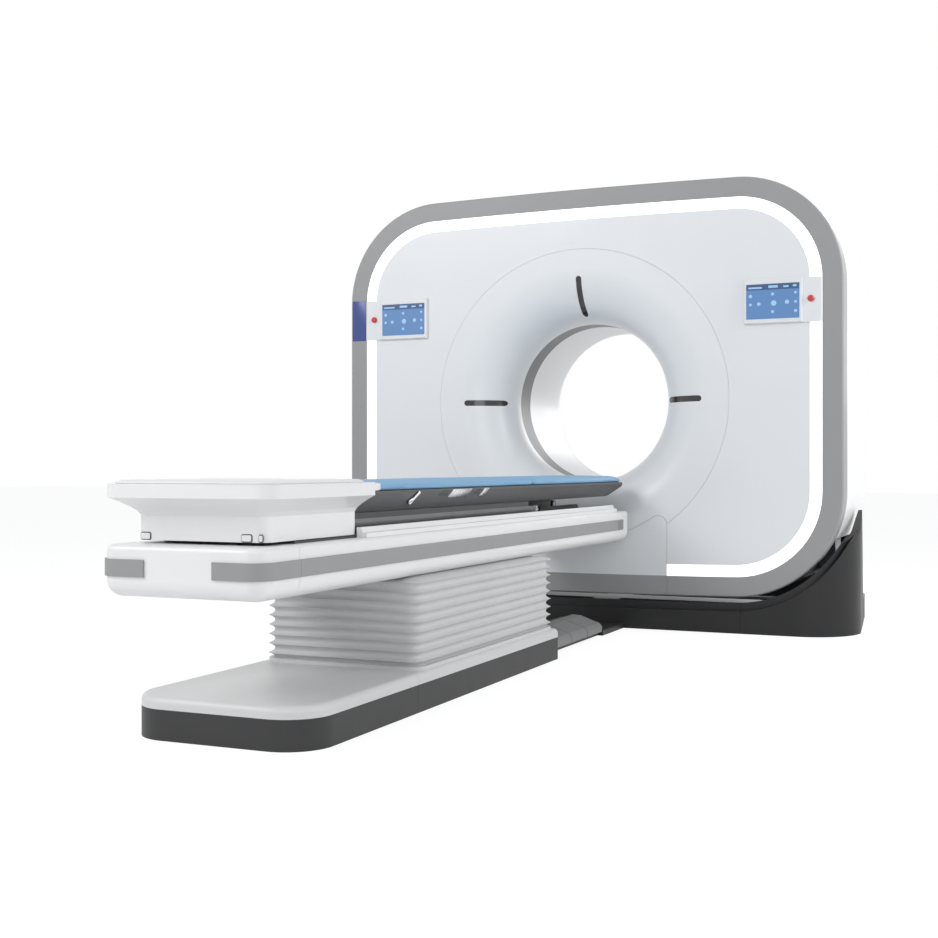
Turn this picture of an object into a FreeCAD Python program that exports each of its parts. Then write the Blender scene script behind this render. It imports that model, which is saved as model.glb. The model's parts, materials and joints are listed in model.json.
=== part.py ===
import FreeCAD, Part
import math
import os

V = FreeCAD.Vector

# ---------------------------------------------------------------------------
# CT scanner: a tilting gantry on its floor base, and a patient table in front.
# Millimetres. +Z up. The scan plane is Y 0 and the bore axis runs along +Y,
# from the table into the gantry. X 0 is the middle, Z 0 the floor.
# ---------------------------------------------------------------------------

# gantry body
ISO_Z = 995.0            # bore axis over the floor, also the tilt axis
BORE_R = 360.0           # patient bore, 720 mm across
FRONT_Y = -280.0         # front plane of the gantry
REAR_Y = 630.0           # back plane of the gantry
HALF_W = 1147.5          # half the width over the grey bezel
TOP_Z = 1936.0
BOTTOM_Z = 143.0
CORNER_R = 450.0
CROWN_R = 40000.0        # the top and bottom edges are very slightly arched
REAR_R = 220.0           # rounding of the covers into the back
SKIN = 5.0               # moulded cover wall
SEAM = 1.0               # gap between two covers
UNDER_R = 897.0          # the underside follows the tilt circle
BEZEL_W = 85.0
BEZEL_DEPTH = 110.0
BEZEL_EDGE = 5.0
BAND_W = 50.0
BAND_T = 8.0
SEAM_R = 676.0           # round joint between front cover and funnel
FUNNEL_R = 580.0         # where the trumpet leaves the flat front
THROAT_Y = FRONT_Y + FUNNEL_R - BORE_R           # end of the front trumpet
WINDOW_REAR_Y = 60.0     # end of the dark scan window ring
REAR_FUNNEL_R = 560.0
TUNNEL_REAR_Y = REAR_Y - (REAR_FUNNEL_R - BORE_R)    # start of the rear trumpet
REAR_SEAM_R = 600.0
LINING_STEPS = 4         # straight stretches on the trumpet's hidden side
FUNNEL_SEGMENTS = 5      # the front trumpet's lower side is moulded in narrow segments that butt together
SEGMENT_DEG = 30.0
ROLL_STEPS = 4           # the back cover rolls in by this many ruled bands
COVER_SPLIT_Y = 380.0    # side and top covers end, back cover begins
TOP_SPLIT_Z = 1486.0
SIDE_LOW_Z = 400.0
PAN_HALF_W = HALF_W - 267.5
APRON_HALF_W = 405.0
APRON_ARC_R = 616.0
APRON_CORNER_R = 40.0

# marking-light windows in the trumpet
SLOT_ANGLES = (0, 90, 180)
SLOT_IN_R = BORE_R + 25.0
SLOT_OUT_R = FUNNEL_R - 24.0
SLOT_W = 26.0
LENS_SET = 2.0           # lens face behind the trumpet's face
LENS_T = 4.0
LENS_GAP = 0.3

# operator panels on the front: a body with the screen, and an ear with the button beside the bezel
PANEL_OUT_X = HALF_W - BEZEL_W - 1.5
PANEL_EAR_X = PANEL_OUT_X - 76.0
PANEL_IN_X = PANEL_EAR_X - 244.0
PANEL_Z = (1302.0, 1487.0)
PANEL_PROUD = 16.0
PANEL_EDGE_R = 5.0
EAR_PROUD = 9.0
SCREEN_X = (PANEL_IN_X + 11.0, PANEL_EAR_X - 13.0)
SCREEN_Z = (1320.0, 1466.0)
SCREEN_PROUD = 1.5
SCREEN_DEEP = 3.0
BUTTON_X = PANEL_EAR_X + 33.0
BUTTON_Z = 1398.0
BUTTON_R = 13.0
BUTTON_EDGE = 4.0
BUTTON_PROUD = 12.0
BUTTON_TRAVEL = 4.0
BUTTON_GAP = 0.5
WELL_FLOOR = 1.5

# tilting frame and its pivots
FRAME_Y = (225.0, 265.0)
FRAME_HALF_W = HALF_W - 187.5
FRAME_Z = (160.0, TOP_Z - 106.0)
FRAME_CORNER = 300.0
ARM_IN_X = FRAME_HALF_W - 115.0
BLOCK_X = FRAME_HALF_W + 15.0        # outer face of the trunnion block
PIVOT_R = 35.0
PIVOT_GAP = 0.05
STAND_X = (BLOCK_X + 10.0, BLOCK_X + 75.0)
STAND_Y = (165.0, 335.0)
STAND_KNEE_Z = 330.0
STAND_BOSS_R = 110.0
PIN_PROUD = 8.0

# bearing, drive and rotor
ROTOR_R = 800.0
ROTOR_BORE = BORE_R + 40.0
HUB_T = 40.0             # radial thickness of the hub, and of each race with its half of the ball track
BEARING_R = (ROTOR_BORE + HUB_T, ROTOR_BORE + 2 * HUB_T, ROTOR_BORE + 3 * HUB_T)
BEARING_SEAT = 10.0                  # how far the plate laps behind the outer race
BEARING_SIDE = 14.0                  # axial room beside each race
RACE_GAP = 0.5
DISC_Y = (100.0, 126.0)
RIM_FRONT_Y = -110.0
RIM_T = 12.0
TUBE_RADIAL = 610.0      # tube housing axis from the bore axis
TUBE_R = 125.0
TUBE_FRONT_Y = -90.0
DETECTOR_R = (560.0, 610.0)
DETECTOR_HALF_DEG = 27.0
DETECTOR_HALF_Y = 55.0
BOX_X = (470.0, 690.0)               # generator and heat exchanger beside the bore
BOX_HALF_Z = 150.0
BOX_FRONT_Y = -90.0
SLIP_R = (BEARING_R[2] + 40.0, BEARING_R[2] + 120.0)
SLIP_T = 14.0
BRUSH_HALF_W = 60.0
MOTOR_AIR_GAP = 6.0
MOTOR_T = 24.0
MOTOR_Y = (40.0, 130.0)
GEAR_R = 90.0
GEAR_OUT_X = HALF_W - SKIN - 7.5
TILT_MOTOR_R = 40.0
TILT_MOTOR_LEN = 230.0

# gantry base
BASE_FRONT_Y = FRONT_Y - 43.0
BASE_REAR_Y = 560.0
BASE_HALF_W = HALF_W + 44.5
BASE_REAR_HALF_W = BASE_HALF_W - 67.0
BASE_CORNER_R = 230.0
BASE_WALL = 37.0
BASE_SKIN = 20.0
LIP_STEP = 17.0          # the cradle lip stands this far behind the face
LIP_DROP = 23.0          # cradle lip under the bezel, and beside it
LIP_SIDE = 40.0
FACE_DROP = 56.0         # top of the base face under the bezel, and beside it
FACE_SIDE = 60.0
BASE_SPLIT_X = 732.0
LOW_WALL_Z = 110.0
HORN_TIP = (110.0, 513.0)
HORN_FOOT_Z = 345.0
HORN_BACK = (255.0, 150.0)
FLOOR_FRAME_H = 80.0     # bars on a plate
FLOOR_PLATE_T = 20.0
FLOOR_FRAME_HALF_W = BASE_HALF_W - 132.0
FLOOR_BAR_W = 130.0
FLOOR_FRAME_CHAMFER = 120.0
GANTRY_ANCHOR_X = FLOOR_FRAME_HALF_W - 110.0
GANTRY_ANCHOR_Y = (-40.0, 400.0)
GANTRY_ANCHOR_R = 9.0

# patient table base
T_HALF_W = 279.0
T_FOOT_Y = -3080.0
T_HEAD_Y = -1298.0
T_CORNER_R = 120.0
T_HEAD_R = 14.0
PLINTH_H = 80.0
PLINTH_T = 6.0
T_COVER_Z = 112.0
T_COVER_EDGE_R = 18.0
T_SPLIT_Y = -2471.0
COLLAR_Z = 122.0
COLLAR_PROUD = 3.0
WELL_HALF_W = 215.0
WELL_Y = (-2400.0, -1340.0)
BELLOWS_HALF_W = 262.0
BELLOWS_Y = (-2432.0, -1306.0)
BELLOWS_R = 50.0
BELLOWS_LEAST_R = 20.0
BELLOWS_FOLDS = 9
FOLD_DEPTH = 14.0
BELLOWS_T = 2.5
BELLOWS_TOP_INSET = 65.0
TABLE_FRAME_H = 35.0
TABLE_FRAME_Y = (-2950.0, -1312.0)
TABLE_ANCHOR_X = 200.0
TABLE_ANCHOR_Y = (-2880.0, -1520.0)
TABLE_ANCHOR_R = 7.0

# telescopic lifting columns
COLUMN_Y = (-2200.0, -1590.0)
COLUMN_W = 150.0
COLUMN_T = 8.0
SLIDE_GAP = 0.5
COLUMN_OUTER_TOP = 315.0
COLUMN_MIDDLE_Z = (135.0, 400.0)
COLUMN_INNER_LOW = 225.0

# lifting beam
BEAM_HALF_W = 240.0
BEAM_Z = (380.0, 510.0)
BEAM_Y = (-3222.0, -322.0)
BEAM_SKIN = 6.0
BEAM_FLOOR_R = 42.0
BEAM_SHOULDER_R = 14.0
BEAM_PLAN_R = 50.0
FOOT_SEAM_Y = -3055.0
TIP_SEAM_Y = -399.0
BEAM_WELL_HALF_W = 185.0
STRIPE_Z = (432.0, 475.0)
STRIPE_T = 5.0
CORNER_STRIPE_X = 100.0
LEDGE_X = (199.0, 212.0, 226.0, 236.0)
LEDGE_Z = (522.0, 538.0)
LEDGE_Y = (-2688.0, -440.0)
DECK_Z = 516.0
DECK_Y = (-3010.0, -590.0)
SPINE_HALF_W = 180.0
SPINE_RAIL_W = 60.0
SPINE_Z = (394.0, 484.0)
SPINE_Y = (-3150.0, -340.0)
RAIL_X = (136.0, 172.0)
RAIL_Z = 558.0
RAIL_Y = (-3010.0, -1248.0)
CHEEK_LOW_Y = (-1100.0, -600.0)      # the cheeks' long feet, drawn in upwards by CHEEK_TAPER
CHEEK_TAPER = 40.0
CHEEK_H = 30.0
ROLLER_Y = -916.0
ROLLER_R = 20.0
ROLLER_HALF_L = 110.0
JOURNAL_R = 8.0

# patient support
PALLET_Z = (575.0, 635.0)
PALLET_Y = (-2688.0, -303.0)
PALLET_HALF_W = 223.0
PALLET_LOW_HALF_W = 178.0
PALLET_RIM_H = 6.0
PALLET_EDGE_R = 10.0
PALLET_TIP_R = 45.0
TIP_RISE = 47.0
TIP_LENGTH = 120.0
PAD_SPLIT_Y = -1381.0
PAD_H = 27.0
HEAD_PAD_H = 27.0
PAD_HALF_W = 222.0
PAD_R = 45.0
PAD_DRAW = 4.0
PAD_CROWN = 4.0
BOX_HALF_W = 194.0
BOX_FOOT_Y = -3132.0
BOX_HEAD_Y = -2690.0
FOOT_BOX_LOW_Z = 518.0
FLARE_Z = 581.0
RIM_HALF_W = 257.0
RIM_FOOT_Y = -3200.0
RIM_Z = (626.0, 661.0)
BOX_CORNER_R = 30.0
RIM_CORNER_R = 50.0
BOX_WALL = 5.0
CARRIAGE_Y = (-2680.0, -1340.0)
CONSOLE_PLATE_Y = (-3000.0, -2680.0)
CONSOLE_PLATE_Z = (565.0, 573.0)
RUN_GAP = 0.3

# floor bridge and pedals
BRIDGE_HALF_W = 223.0
BRIDGE_T = 22.0
BRIDGE_NOTCH_X = 200.0
PEDAL_Y = (-1180.0, -993.0, -806.0, -619.0)
PEDAL_GAP = 5.0
HINGE_X = 92.0
HINGE_Z = 58.0
HINGE_R = 4.0
HINGE_GAP = 0.08
PEDAL_OUT_X = 223.0
PEDAL_TOP_Z = (85.0, 50.0)
PEDAL_T = 8.0
PEDAL_SKIRT_Z = 18.0
EAR_T = 6.0


# ---------------------------------------------------------------------------
# small helpers
# ---------------------------------------------------------------------------

def block(x, y, z):
    """A block from three (low, high) pairs."""
    return Part.makeBox(x[1] - x[0], y[1] - y[0], z[1] - z[0], V(x[0], y[0], z[0]))


def rod(r, start, direction, length):
    return Part.makeCylinder(r, length, start, direction)


def mirrored(shape):
    """The same piece on the other side of X 0."""
    return shape.mirror(V(0, 0, 0), V(1, 0, 0))


def pair(shape):
    """A right-hand piece with its left-hand twin."""
    return Part.makeCompound([shape, mirrored(shape)])


def fused(shapes):
    whole = shapes[0].multiFuse(shapes[1:]) if len(shapes) > 1 else shapes[0]
    return whole.removeSplitter()


def rounded(shape, radius, chosen):
    """Fillets the edges for which chosen(bounding box) is true."""
    return shape.makeFillet(radius, [e for e in shape.Edges if chosen(e.BoundBox)])


def bevelled(shape, size, chosen):
    """Chamfers the edges for which chosen(bounding box) is true."""
    return shape.makeChamfer(size, [e for e in shape.Edges if chosen(e.BoundBox)])


def face_of(edges):
    return Part.Face(Part.Wire(Part.__sortEdges__([e.toShape() for e in edges])))


def about_bore(profile):
    """Turns a closed wire, drawn in the plane X 0 above the axis, about the bore axis."""
    return Part.Face(profile).revolve(V(0, 0, ISO_Z), V(0, 1, 0), 360)


def bore_ring(r_in, r_out, y0, y1):
    outer = rod(r_out, V(0, y0, ISO_Z), V(0, 1, 0), y1 - y0)
    return outer.cut(rod(r_in, V(0, y0 - 1, ISO_Z), V(0, 1, 0), y1 - y0 + 2))


def upright_profile(points, y0, y1):
    """A prism along Y from (X, Z) corners."""
    wire = Part.makePolygon([V(x, y0, z) for x, z in points + points[:1]])
    return Part.Face(wire).extrude(V(0, y1 - y0, 0))


def side_profile(points, x0, x1):
    """A prism along X from (Y, Z) corners."""
    wire = Part.makePolygon([V(x0, y, z) for y, z in points + points[:1]])
    return Part.Face(wire).extrude(V(x1 - x0, 0, 0))


def plan_slab(x, y, z, r_low, r_high=0.0):
    """An upright slab with rounded plan corners: r_low at the low Y end, r_high at the high Y end."""
    slab = block(x, y, z)
    for radius, end in ((r_low, y[0]), (r_high, y[1])):
        if radius > 0:
            slab = rounded(slab, radius, lambda b: b.ZLength > 1 and b.XLength < 1 and abs(b.YMin - end) < 0.01
                           and b.YLength < 1)
    return slab


def plan_wire(hw, y, z, r_low, r_high, draw=0.0):
    """A rounded rectangle about X 0 in plan, its four sides bowed inwards by draw."""
    corners = ((hw, y[1], r_high, 0), (-hw, y[1], r_high, 90), (-hw, y[0], r_low, 180), (hw, y[0], r_low, 270))
    arcs = []
    for cx, cy, r, start in corners:
        mx = cx - math.copysign(r, cx)
        my = cy - r if cy == y[1] else cy + r
        turn = [math.radians(start + a) for a in (0, 45, 90)]
        arcs.append([V(mx + r * math.cos(a), my + r * math.sin(a), z) for a in turn])
    edges = []
    inward = (V(0, -draw, 0), V(draw, 0, 0), V(0, draw, 0), V(-draw, 0, 0))
    for i, arc in enumerate(arcs):
        p, q = arc[2], arcs[(i + 1) % 4][0]
        edges.append(Part.Arc(*arc).toShape())
        side = Part.Arc(p, (p + q) * 0.5 + inward[i], q) if draw > 0 else Part.LineSegment(p, q)
        edges.append(side.toShape())
    return Part.Wire(edges)


# ---------------------------------------------------------------------------
# gantry: outline and covers
# ---------------------------------------------------------------------------

def front_outline(grow, y, side_grow=None):
    """The gantry's front outline at Y y, grown outwards by grow, as one closed tangent wire."""
    side = grow if side_grow is None else side_grow
    hw = HALF_W + side
    r = CORNER_R + side
    edges = []
    centre_z = []
    for up in (1, -1):
        rim = (TOP_Z + grow) if up > 0 else (BOTTOM_Z - grow)
        arch = CROWN_R + grow
        middle = rim - up * arch
        zc = middle + up * math.sqrt((arch - r) ** 2 - (hw - r) ** 2)
        touch = V(hw - r, 0, zc - middle).normalize() * arch
        tz = middle + touch.z
        centre_z.append(zc)
        edges.append(Part.Arc(V(-touch.x, y, tz), V(0, y, rim), V(touch.x, y, tz)))
        for s in (1, -1):
            knee = V(s * (hw - r * (1 - math.sqrt(0.5))), y, zc + up * r * math.sqrt(0.5))
            edges.append(Part.Arc(V(s * touch.x, y, tz), knee, V(s * hw, y, zc)))
    for s in (1, -1):
        edges.append(Part.LineSegment(V(s * hw, y, centre_z[0]), V(s * hw, y, centre_z[1])))
    return Part.Wire(Part.__sortEdges__([e.toShape() for e in edges]))


def front_slab(grow, y0, y1, side_grow=None):
    return Part.Face(front_outline(grow, y0, side_grow)).extrude(V(0, y1 - y0, 0))


def body_envelope(grow, y0, y1):
    """The rounded gantry block, its back edge rolled in and its underside cut to the tilt circle."""
    roll = REAR_R + grow
    wires = [front_outline(grow, y0)]
    for i in range(ROLL_STEPS + 1):
        a = math.radians(90 * i / ROLL_STEPS)
        wires.append(front_outline(grow - roll * (1 - math.cos(a)), y1 - roll * (1 - math.sin(a))))
    slab = Part.makeLoft(wires, True, True)
    swing = rod(UNDER_R + grow, V(-2 * HALF_W, 0, ISO_Z), V(1, 0, 0), 4 * HALF_W)
    under = block((-2 * HALF_W, 2 * HALF_W), (0, REAR_Y + 100), (0, ISO_Z)).cut(swing)
    return slab.cut(under)


def trumpet(r_wide, r_flat, y_flat, into, near, far, steps=0):
    """A mouth that rolls by a quarter circle from a flat cover face into the bore, from near to far behind it.

    into is the way into the bore. With steps, the hidden side follows the same circle by straight stretches."""
    centre_y = y_flat + into * (r_flat - BORE_R)

    def on_roll(depth, degrees):
        r = r_flat - BORE_R - depth
        a = math.radians(degrees)
        return V(0, centre_y - into * r * math.cos(a), ISO_Z + r_flat - r * math.sin(a))

    front = [on_roll(near, a) for a in (0, 45, 90)]
    edges = [Part.Arc(*front).toShape()]
    if steps:
        back = [on_roll(far, 90 * i / steps) for i in range(steps + 1)]
        edges += [Part.LineSegment(p, q).toShape() for p, q in zip(back[:-1], back[1:])]
    else:
        back = [on_roll(far, a) for a in (0, 45, 90)]
        edges.append(Part.Arc(*back).toShape())
    rim_a = V(0, front[0].y, ISO_Z + r_wide)
    rim_b = V(0, back[0].y, ISO_Z + r_wide)
    ends = [(rim_a, front[0]), (front[-1], back[-1]), (back[0], rim_b), (rim_b, rim_a)]
    edges += [Part.LineSegment(p, q).toShape() for p, q in ends]
    return about_bore(Part.Wire(Part.__sortEdges__(edges)))


def apron_prism(shrink, y0, y1):
    """The lower middle panel's outline: upright sides, and an arc about the bore along its top."""
    hw = APRON_HALF_W - shrink
    top = ISO_Z - math.sqrt(APRON_ARC_R ** 2 - APRON_HALF_W ** 2) + APRON_ARC_R * 0.3
    sides = block((-hw, hw), (y0, y1), (0, top))
    panel = sides.cut(rod(APRON_ARC_R + shrink, V(0, y0 - 1, ISO_Z), V(0, 1, 0), y1 - y0 + 2))
    return rounded(panel, APRON_CORNER_R - shrink, lambda b: b.YLength > 1 and b.XLength < 0.01
                   and b.ZLength < 0.01 and b.ZMin > BOTTOM_Z)


def slot_prism(angle, grow):
    """A round-ended radial slot prism through the trumpet, angle in degrees from +X."""
    w = SLOT_W / 2 + grow
    ends = (SLOT_IN_R + SLOT_W / 2, SLOT_OUT_R - SLOT_W / 2)
    y = (FRONT_Y - 1, THROAT_Y - 1)
    bar = block(ends, y, (-w, w))
    slot = fused([bar] + [rod(w, V(r, y[0], 0), V(0, 1, 0), y[1] - y[0]) for r in ends])
    slot.rotate(V(0, 0, 0), V(0, -1, 0), angle)
    slot.translate(V(0, 0, ISO_Z))
    return slot


def segment_wedges():
    """Equal wedges about the bore axis, centred straight down, that part the funnel's lower segments."""
    reach = 2 * SEAM_R
    start = -90 - FUNNEL_SEGMENTS * SEGMENT_DEG / 2
    wedges = []
    for i in range(FUNNEL_SEGMENTS):
        turns = [math.radians(start + (i + k) * SEGMENT_DEG) for k in (0, 1)]
        sides = [(reach * math.cos(a), ISO_Z + reach * math.sin(a)) for a in turns]
        wedges.append(upright_profile([(0, ISO_Z)] + sides, FRONT_Y - 1, THROAT_Y + 1))
    return wedges


def front_covers():
    back = FRONT_Y + BEZEL_DEPTH
    apron_hole = apron_prism(0, FRONT_Y - 1, back)
    middle = block((-APRON_HALF_W, APRON_HALF_W), (FRONT_Y - 1, back + 1), (0, ISO_Z))
    narrow = block((-APRON_HALF_W + SEAM, APRON_HALF_W - SEAM), (FRONT_Y - 1, back + 1), (0, ISO_Z))

    bezel = bevelled(front_slab(0, FRONT_Y, back), BEZEL_EDGE, lambda b: b.YMax < FRONT_Y + 0.01)
    bezel = bezel.cut(front_slab(-BEZEL_W, FRONT_Y - 1, back + 1))

    band_back = FRONT_Y + BAND_T
    inset = BEZEL_W + BAND_W
    band = front_slab(-BEZEL_W, FRONT_Y, band_back)
    band = band.cut(front_slab(-inset, FRONT_Y - 1, band_back + 1)).cut(apron_hole)

    # the front cover steps back behind the light band and bolts to the bezel there
    front = fused([front_slab(-inset, FRONT_Y, band_back), front_slab(-BEZEL_W, band_back, band_back + SKIN)])
    front = front.cut(front_slab(-inset - SKIN, FRONT_Y + SKIN, band_back + SKIN + 1))
    front = front.cut(rod(SEAM_R, V(0, FRONT_Y - 1, ISO_Z), V(0, 1, 0), BEZEL_DEPTH)).cut(apron_hole)

    apron = front_slab(-BEZEL_W, FRONT_Y, FRONT_Y + SKIN).common(apron_prism(SEAM, FRONT_Y - 1, back))

    funnel = trumpet(SEAM_R - SEAM, FUNNEL_R, FRONT_Y, 1, 0, SKIN, LINING_STEPS).cut(apron_hole)
    lens_skin = trumpet(SEAM_R, FUNNEL_R, FRONT_Y, 1, LENS_SET, LENS_SET + LENS_T)
    lenses = []
    for angle in SLOT_ANGLES:
        funnel = funnel.cut(slot_prism(angle, 0))
        lenses.append(lens_skin.common(slot_prism(angle, -LENS_GAP)))
    wedges = segment_wedges()
    segments = [funnel.common(w) for w in wedges] + [funnel.cut(Part.makeCompound(wedges))]
    return {
        "bezel_ring": bezel.cut(middle),
        "bezel_sill": bezel.common(narrow),
        "light_band": band,
        "front_cover": front,
        "apron_panel": apron,
        "front_funnel": Part.makeCompound(segments),
        "marking_light_windows": Part.makeCompound(lenses),
        "scan_window_ring": bore_ring(BORE_R, BORE_R + SKIN, THROAT_Y, WINDOW_REAR_Y),
        "bore_tunnel": bore_ring(BORE_R, BORE_R + SKIN, WINDOW_REAR_Y, TUNNEL_REAR_Y),
        "rear_funnel": trumpet(REAR_SEAM_R - SEAM, REAR_FUNNEL_R, REAR_Y, -1, 0, SKIN, LINING_STEPS),
    }


def body_covers():
    front = FRONT_Y + BEZEL_DEPTH
    shell = body_envelope(0, front, REAR_Y).cut(body_envelope(-SKIN, front - 1, REAR_Y - SKIN))
    wide = HALF_W + 10
    ahead = (front, COVER_SPLIT_Y - SEAM)
    rear = shell.common(block((-wide, wide), (COVER_SPLIT_Y, REAR_Y + 1), (0, TOP_Z + 10)))
    side = shell.common(block((0, wide), ahead, (SIDE_LOW_Z, TOP_SPLIT_Z - SEAM)))
    return {
        "rear_cover": rear.cut(rod(REAR_SEAM_R, V(0, 0, ISO_Z), V(0, 1, 0), REAR_Y + 10)),
        "top_cover": shell.common(block((-wide, wide), ahead, (TOP_SPLIT_Z, TOP_Z + 10))),
        "side_covers": pair(side),
        "underside_pan": shell.common(block((-PAN_HALF_W, PAN_HALF_W), ahead, (0, SIDE_LOW_Z))),
    }


def operator_panels():
    face = FRONT_Y - PANEL_PROUD
    ear_face = FRONT_Y - EAR_PROUD
    screen_floor = face + SCREEN_DEEP
    body = block((PANEL_IN_X, PANEL_EAR_X), (face, FRONT_Y), PANEL_Z)
    body = rounded(body, PANEL_EDGE_R, lambda b: b.YMax < face + 0.01)
    ear = block((PANEL_EAR_X, PANEL_OUT_X), (ear_face, FRONT_Y), PANEL_Z)
    well_depth = EAR_PROUD - WELL_FLOOR
    well = rod(BUTTON_R + BUTTON_GAP, V(BUTTON_X, ear_face - 1, BUTTON_Z), V(0, 1, 0), well_depth + 1)
    housing = fused([body, ear]).cut(block(SCREEN_X, (face - 1, screen_floor), SCREEN_Z)).cut(well)
    screen = block(SCREEN_X, (face - SCREEN_PROUD, screen_floor), SCREEN_Z)
    tip = ear_face - BUTTON_PROUD
    length = BUTTON_PROUD + well_depth - BUTTON_TRAVEL - BUTTON_GAP
    button = rod(BUTTON_R, V(BUTTON_X, tip, BUTTON_Z), V(0, 1, 0), length)
    button = bevelled(button, BUTTON_EDGE, lambda b: b.YMax < tip + 0.01)
    return {
        "panel_housings": pair(housing),
        "touch_screens": pair(screen),
        "stop_button_right": button,
        "stop_button_left": mirrored(button),
    }


# ---------------------------------------------------------------------------
# gantry: what the covers hide
# ---------------------------------------------------------------------------

def tilting_frame():
    """The stator plate round the bearing, with trunnion arms and pins on the tilt axis."""
    w, (low, high), c = FRAME_HALF_W, FRAME_Z, FRAME_CORNER
    outline = [(-w + c, low), (w - c, low), (w, low + c), (w, high - c),
               (w - c, high), (-w + c, high), (-w, high - c), (-w, low + c)]
    plate = upright_profile(outline, *FRAME_Y)
    plate = plate.cut(rod(BEARING_R[1] + BEARING_SEAT, V(0, 0, ISO_Z), V(0, 1, 0), REAR_Y))
    arm = side_profile([(-70, ISO_Z - 80), (70, ISO_Z - 110), (FRAME_Y[0], ISO_Z - 170),
                        (FRAME_Y[0], ISO_Z + 170), (70, ISO_Z + 110), (-70, ISO_Z + 80)], ARM_IN_X, BLOCK_X)
    pin = rod(PIVOT_R, V(BLOCK_X, 0, ISO_Z), V(1, 0, 0), STAND_X[1] + PIN_PROUD - BLOCK_X)
    pieces = [plate, arm, pin, mirrored(arm), mirrored(pin)]
    # angle brackets reach forwards from the plate's edge to the back of the bezel
    bezel_back = FRONT_Y + BEZEL_DEPTH
    strap = 12.0
    for low in (560.0, TOP_SPLIT_Z - 20):
        reach = block((w - strap, w), (bezel_back, FRAME_Y[0]), (low, low + 60))
        foot = block((w - strap, HALF_W - BEZEL_W / 2), (bezel_back, bezel_back + strap), (low, low + 60))
        pieces += [reach, foot, mirrored(reach), mirrored(foot)]
    return fused(pieces)


def rotor_drum():
    inner_end = FRAME_Y[0] - BEARING_SIDE
    disc = bore_ring(ROTOR_BORE, ROTOR_R, *DISC_Y)
    rim = bore_ring(ROTOR_R - RIM_T, ROTOR_R, RIM_FRONT_Y, DISC_Y[1])
    hub = bore_ring(ROTOR_BORE, BEARING_R[0], DISC_Y[0], inner_end)
    return fused([disc, rim, hub])


def rotor_pieces():
    axis_z = ISO_Z + TUBE_RADIAL
    disc_face = DISC_Y[0]
    along = V(0, 1, 0)
    housing = rod(TUBE_R, V(0, TUBE_FRONT_Y, axis_z), along, disc_face - TUBE_FRONT_Y)
    cap = Part.makeCone(TUBE_R - 45, TUBE_R - 10, 30, V(0, TUBE_FRONT_Y - 30, axis_z), along)
    low = axis_z - TUBE_R
    cradle = rod(TUBE_R + SLIDE_GAP, V(0, TUBE_FRONT_Y, axis_z), along, disc_face - TUBE_FRONT_Y)
    jaws = block((-95, 95), (TUBE_FRONT_Y + 10, disc_face), (low - 28, low + 40)).cut(cradle)
    jaws = jaws.cut(block((-55, 55), (-16, 16), (low - 40, low + 60)))

    r0, r1 = DETECTOR_R
    section = [V(r0, -DETECTOR_HALF_Y, 0), V(r1, -DETECTOR_HALF_Y, 0), V(r1, disc_face, 0), V(r0, disc_face, 0)]
    detector = Part.Face(Part.makePolygon(section + section[:1]))
    detector = detector.revolve(V(0, 0, 0), V(0, -1, 0), 2 * DETECTOR_HALF_DEG)
    detector.rotate(V(0, 0, 0), V(0, -1, 0), -90 - DETECTOR_HALF_DEG)
    detector.translate(V(0, 0, ISO_Z))

    box_z = (ISO_Z - BOX_HALF_Z, ISO_Z + BOX_HALF_Z)
    generator = rounded(block(BOX_X, (BOX_FRONT_Y, disc_face), box_z), 20, lambda b: b.YMax < BOX_FRONT_Y + 0.01)
    cooler = mirrored(block(BOX_X, (BOX_FRONT_Y, disc_face), box_z))
    slats = 6
    pitch = 2 * BOX_HALF_Z / (slats + 1)
    for i in range(slats):
        z = box_z[0] + (i + 1) * pitch
        gap = block((-BOX_X[1] + 20, -BOX_X[0] - 20), (BOX_FRONT_Y - 1, BOX_FRONT_Y + 60), (z - 9, z + 9))
        cooler = cooler.cut(gap)
    race_end = FRAME_Y[0] - BEARING_SIDE
    return {
        "rotor_drum": rotor_drum(),
        "main_bearing_inner": bore_ring(BEARING_R[0], BEARING_R[1] - RACE_GAP, DISC_Y[1], race_end),
        "x_ray_tube": fused([housing, cap]),
        "beam_collimator": jaws,
        "detector_arc": detector,
        "high_voltage_generator": generator,
        "rotor_heat_exchanger": cooler,
        "slip_ring": bore_ring(SLIP_R[0], SLIP_R[1], DISC_Y[1], DISC_Y[1] + SLIP_T),
    }


def stator_pieces():
    plate = FRAME_Y[0]
    race = bore_ring(BEARING_R[1] + RACE_GAP, BEARING_R[2], DISC_Y[1] + BEARING_SIDE, plate)
    brush_face = DISC_Y[1] + SLIP_T + SLIDE_GAP
    brush_z = (ISO_Z - SLIP_R[1], ISO_Z - SLIP_R[0])
    brushes = block((-BRUSH_HALF_W, BRUSH_HALF_W), (brush_face, plate), brush_z)
    r0 = ROTOR_R + MOTOR_AIR_GAP
    ring = bore_ring(r0, r0 + MOTOR_T, *MOTOR_Y)
    legs = bore_ring(r0, r0 + MOTOR_T, MOTOR_Y[1], plate)
    reach = ROTOR_R + 100
    keep = fused([block((-50, 50), (0, plate), (ISO_Z - reach, ISO_Z + reach)),
                  block((-reach, reach), (0, plate), (ISO_Z - 50, ISO_Z + 50))])
    return {
        "main_bearing_outer": race,
        "slip_ring_brushes": brushes,
        "drive_motor_stator": fused([ring, legs.common(keep)]),
    }


# ---------------------------------------------------------------------------
# gantry base
# ---------------------------------------------------------------------------

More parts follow.
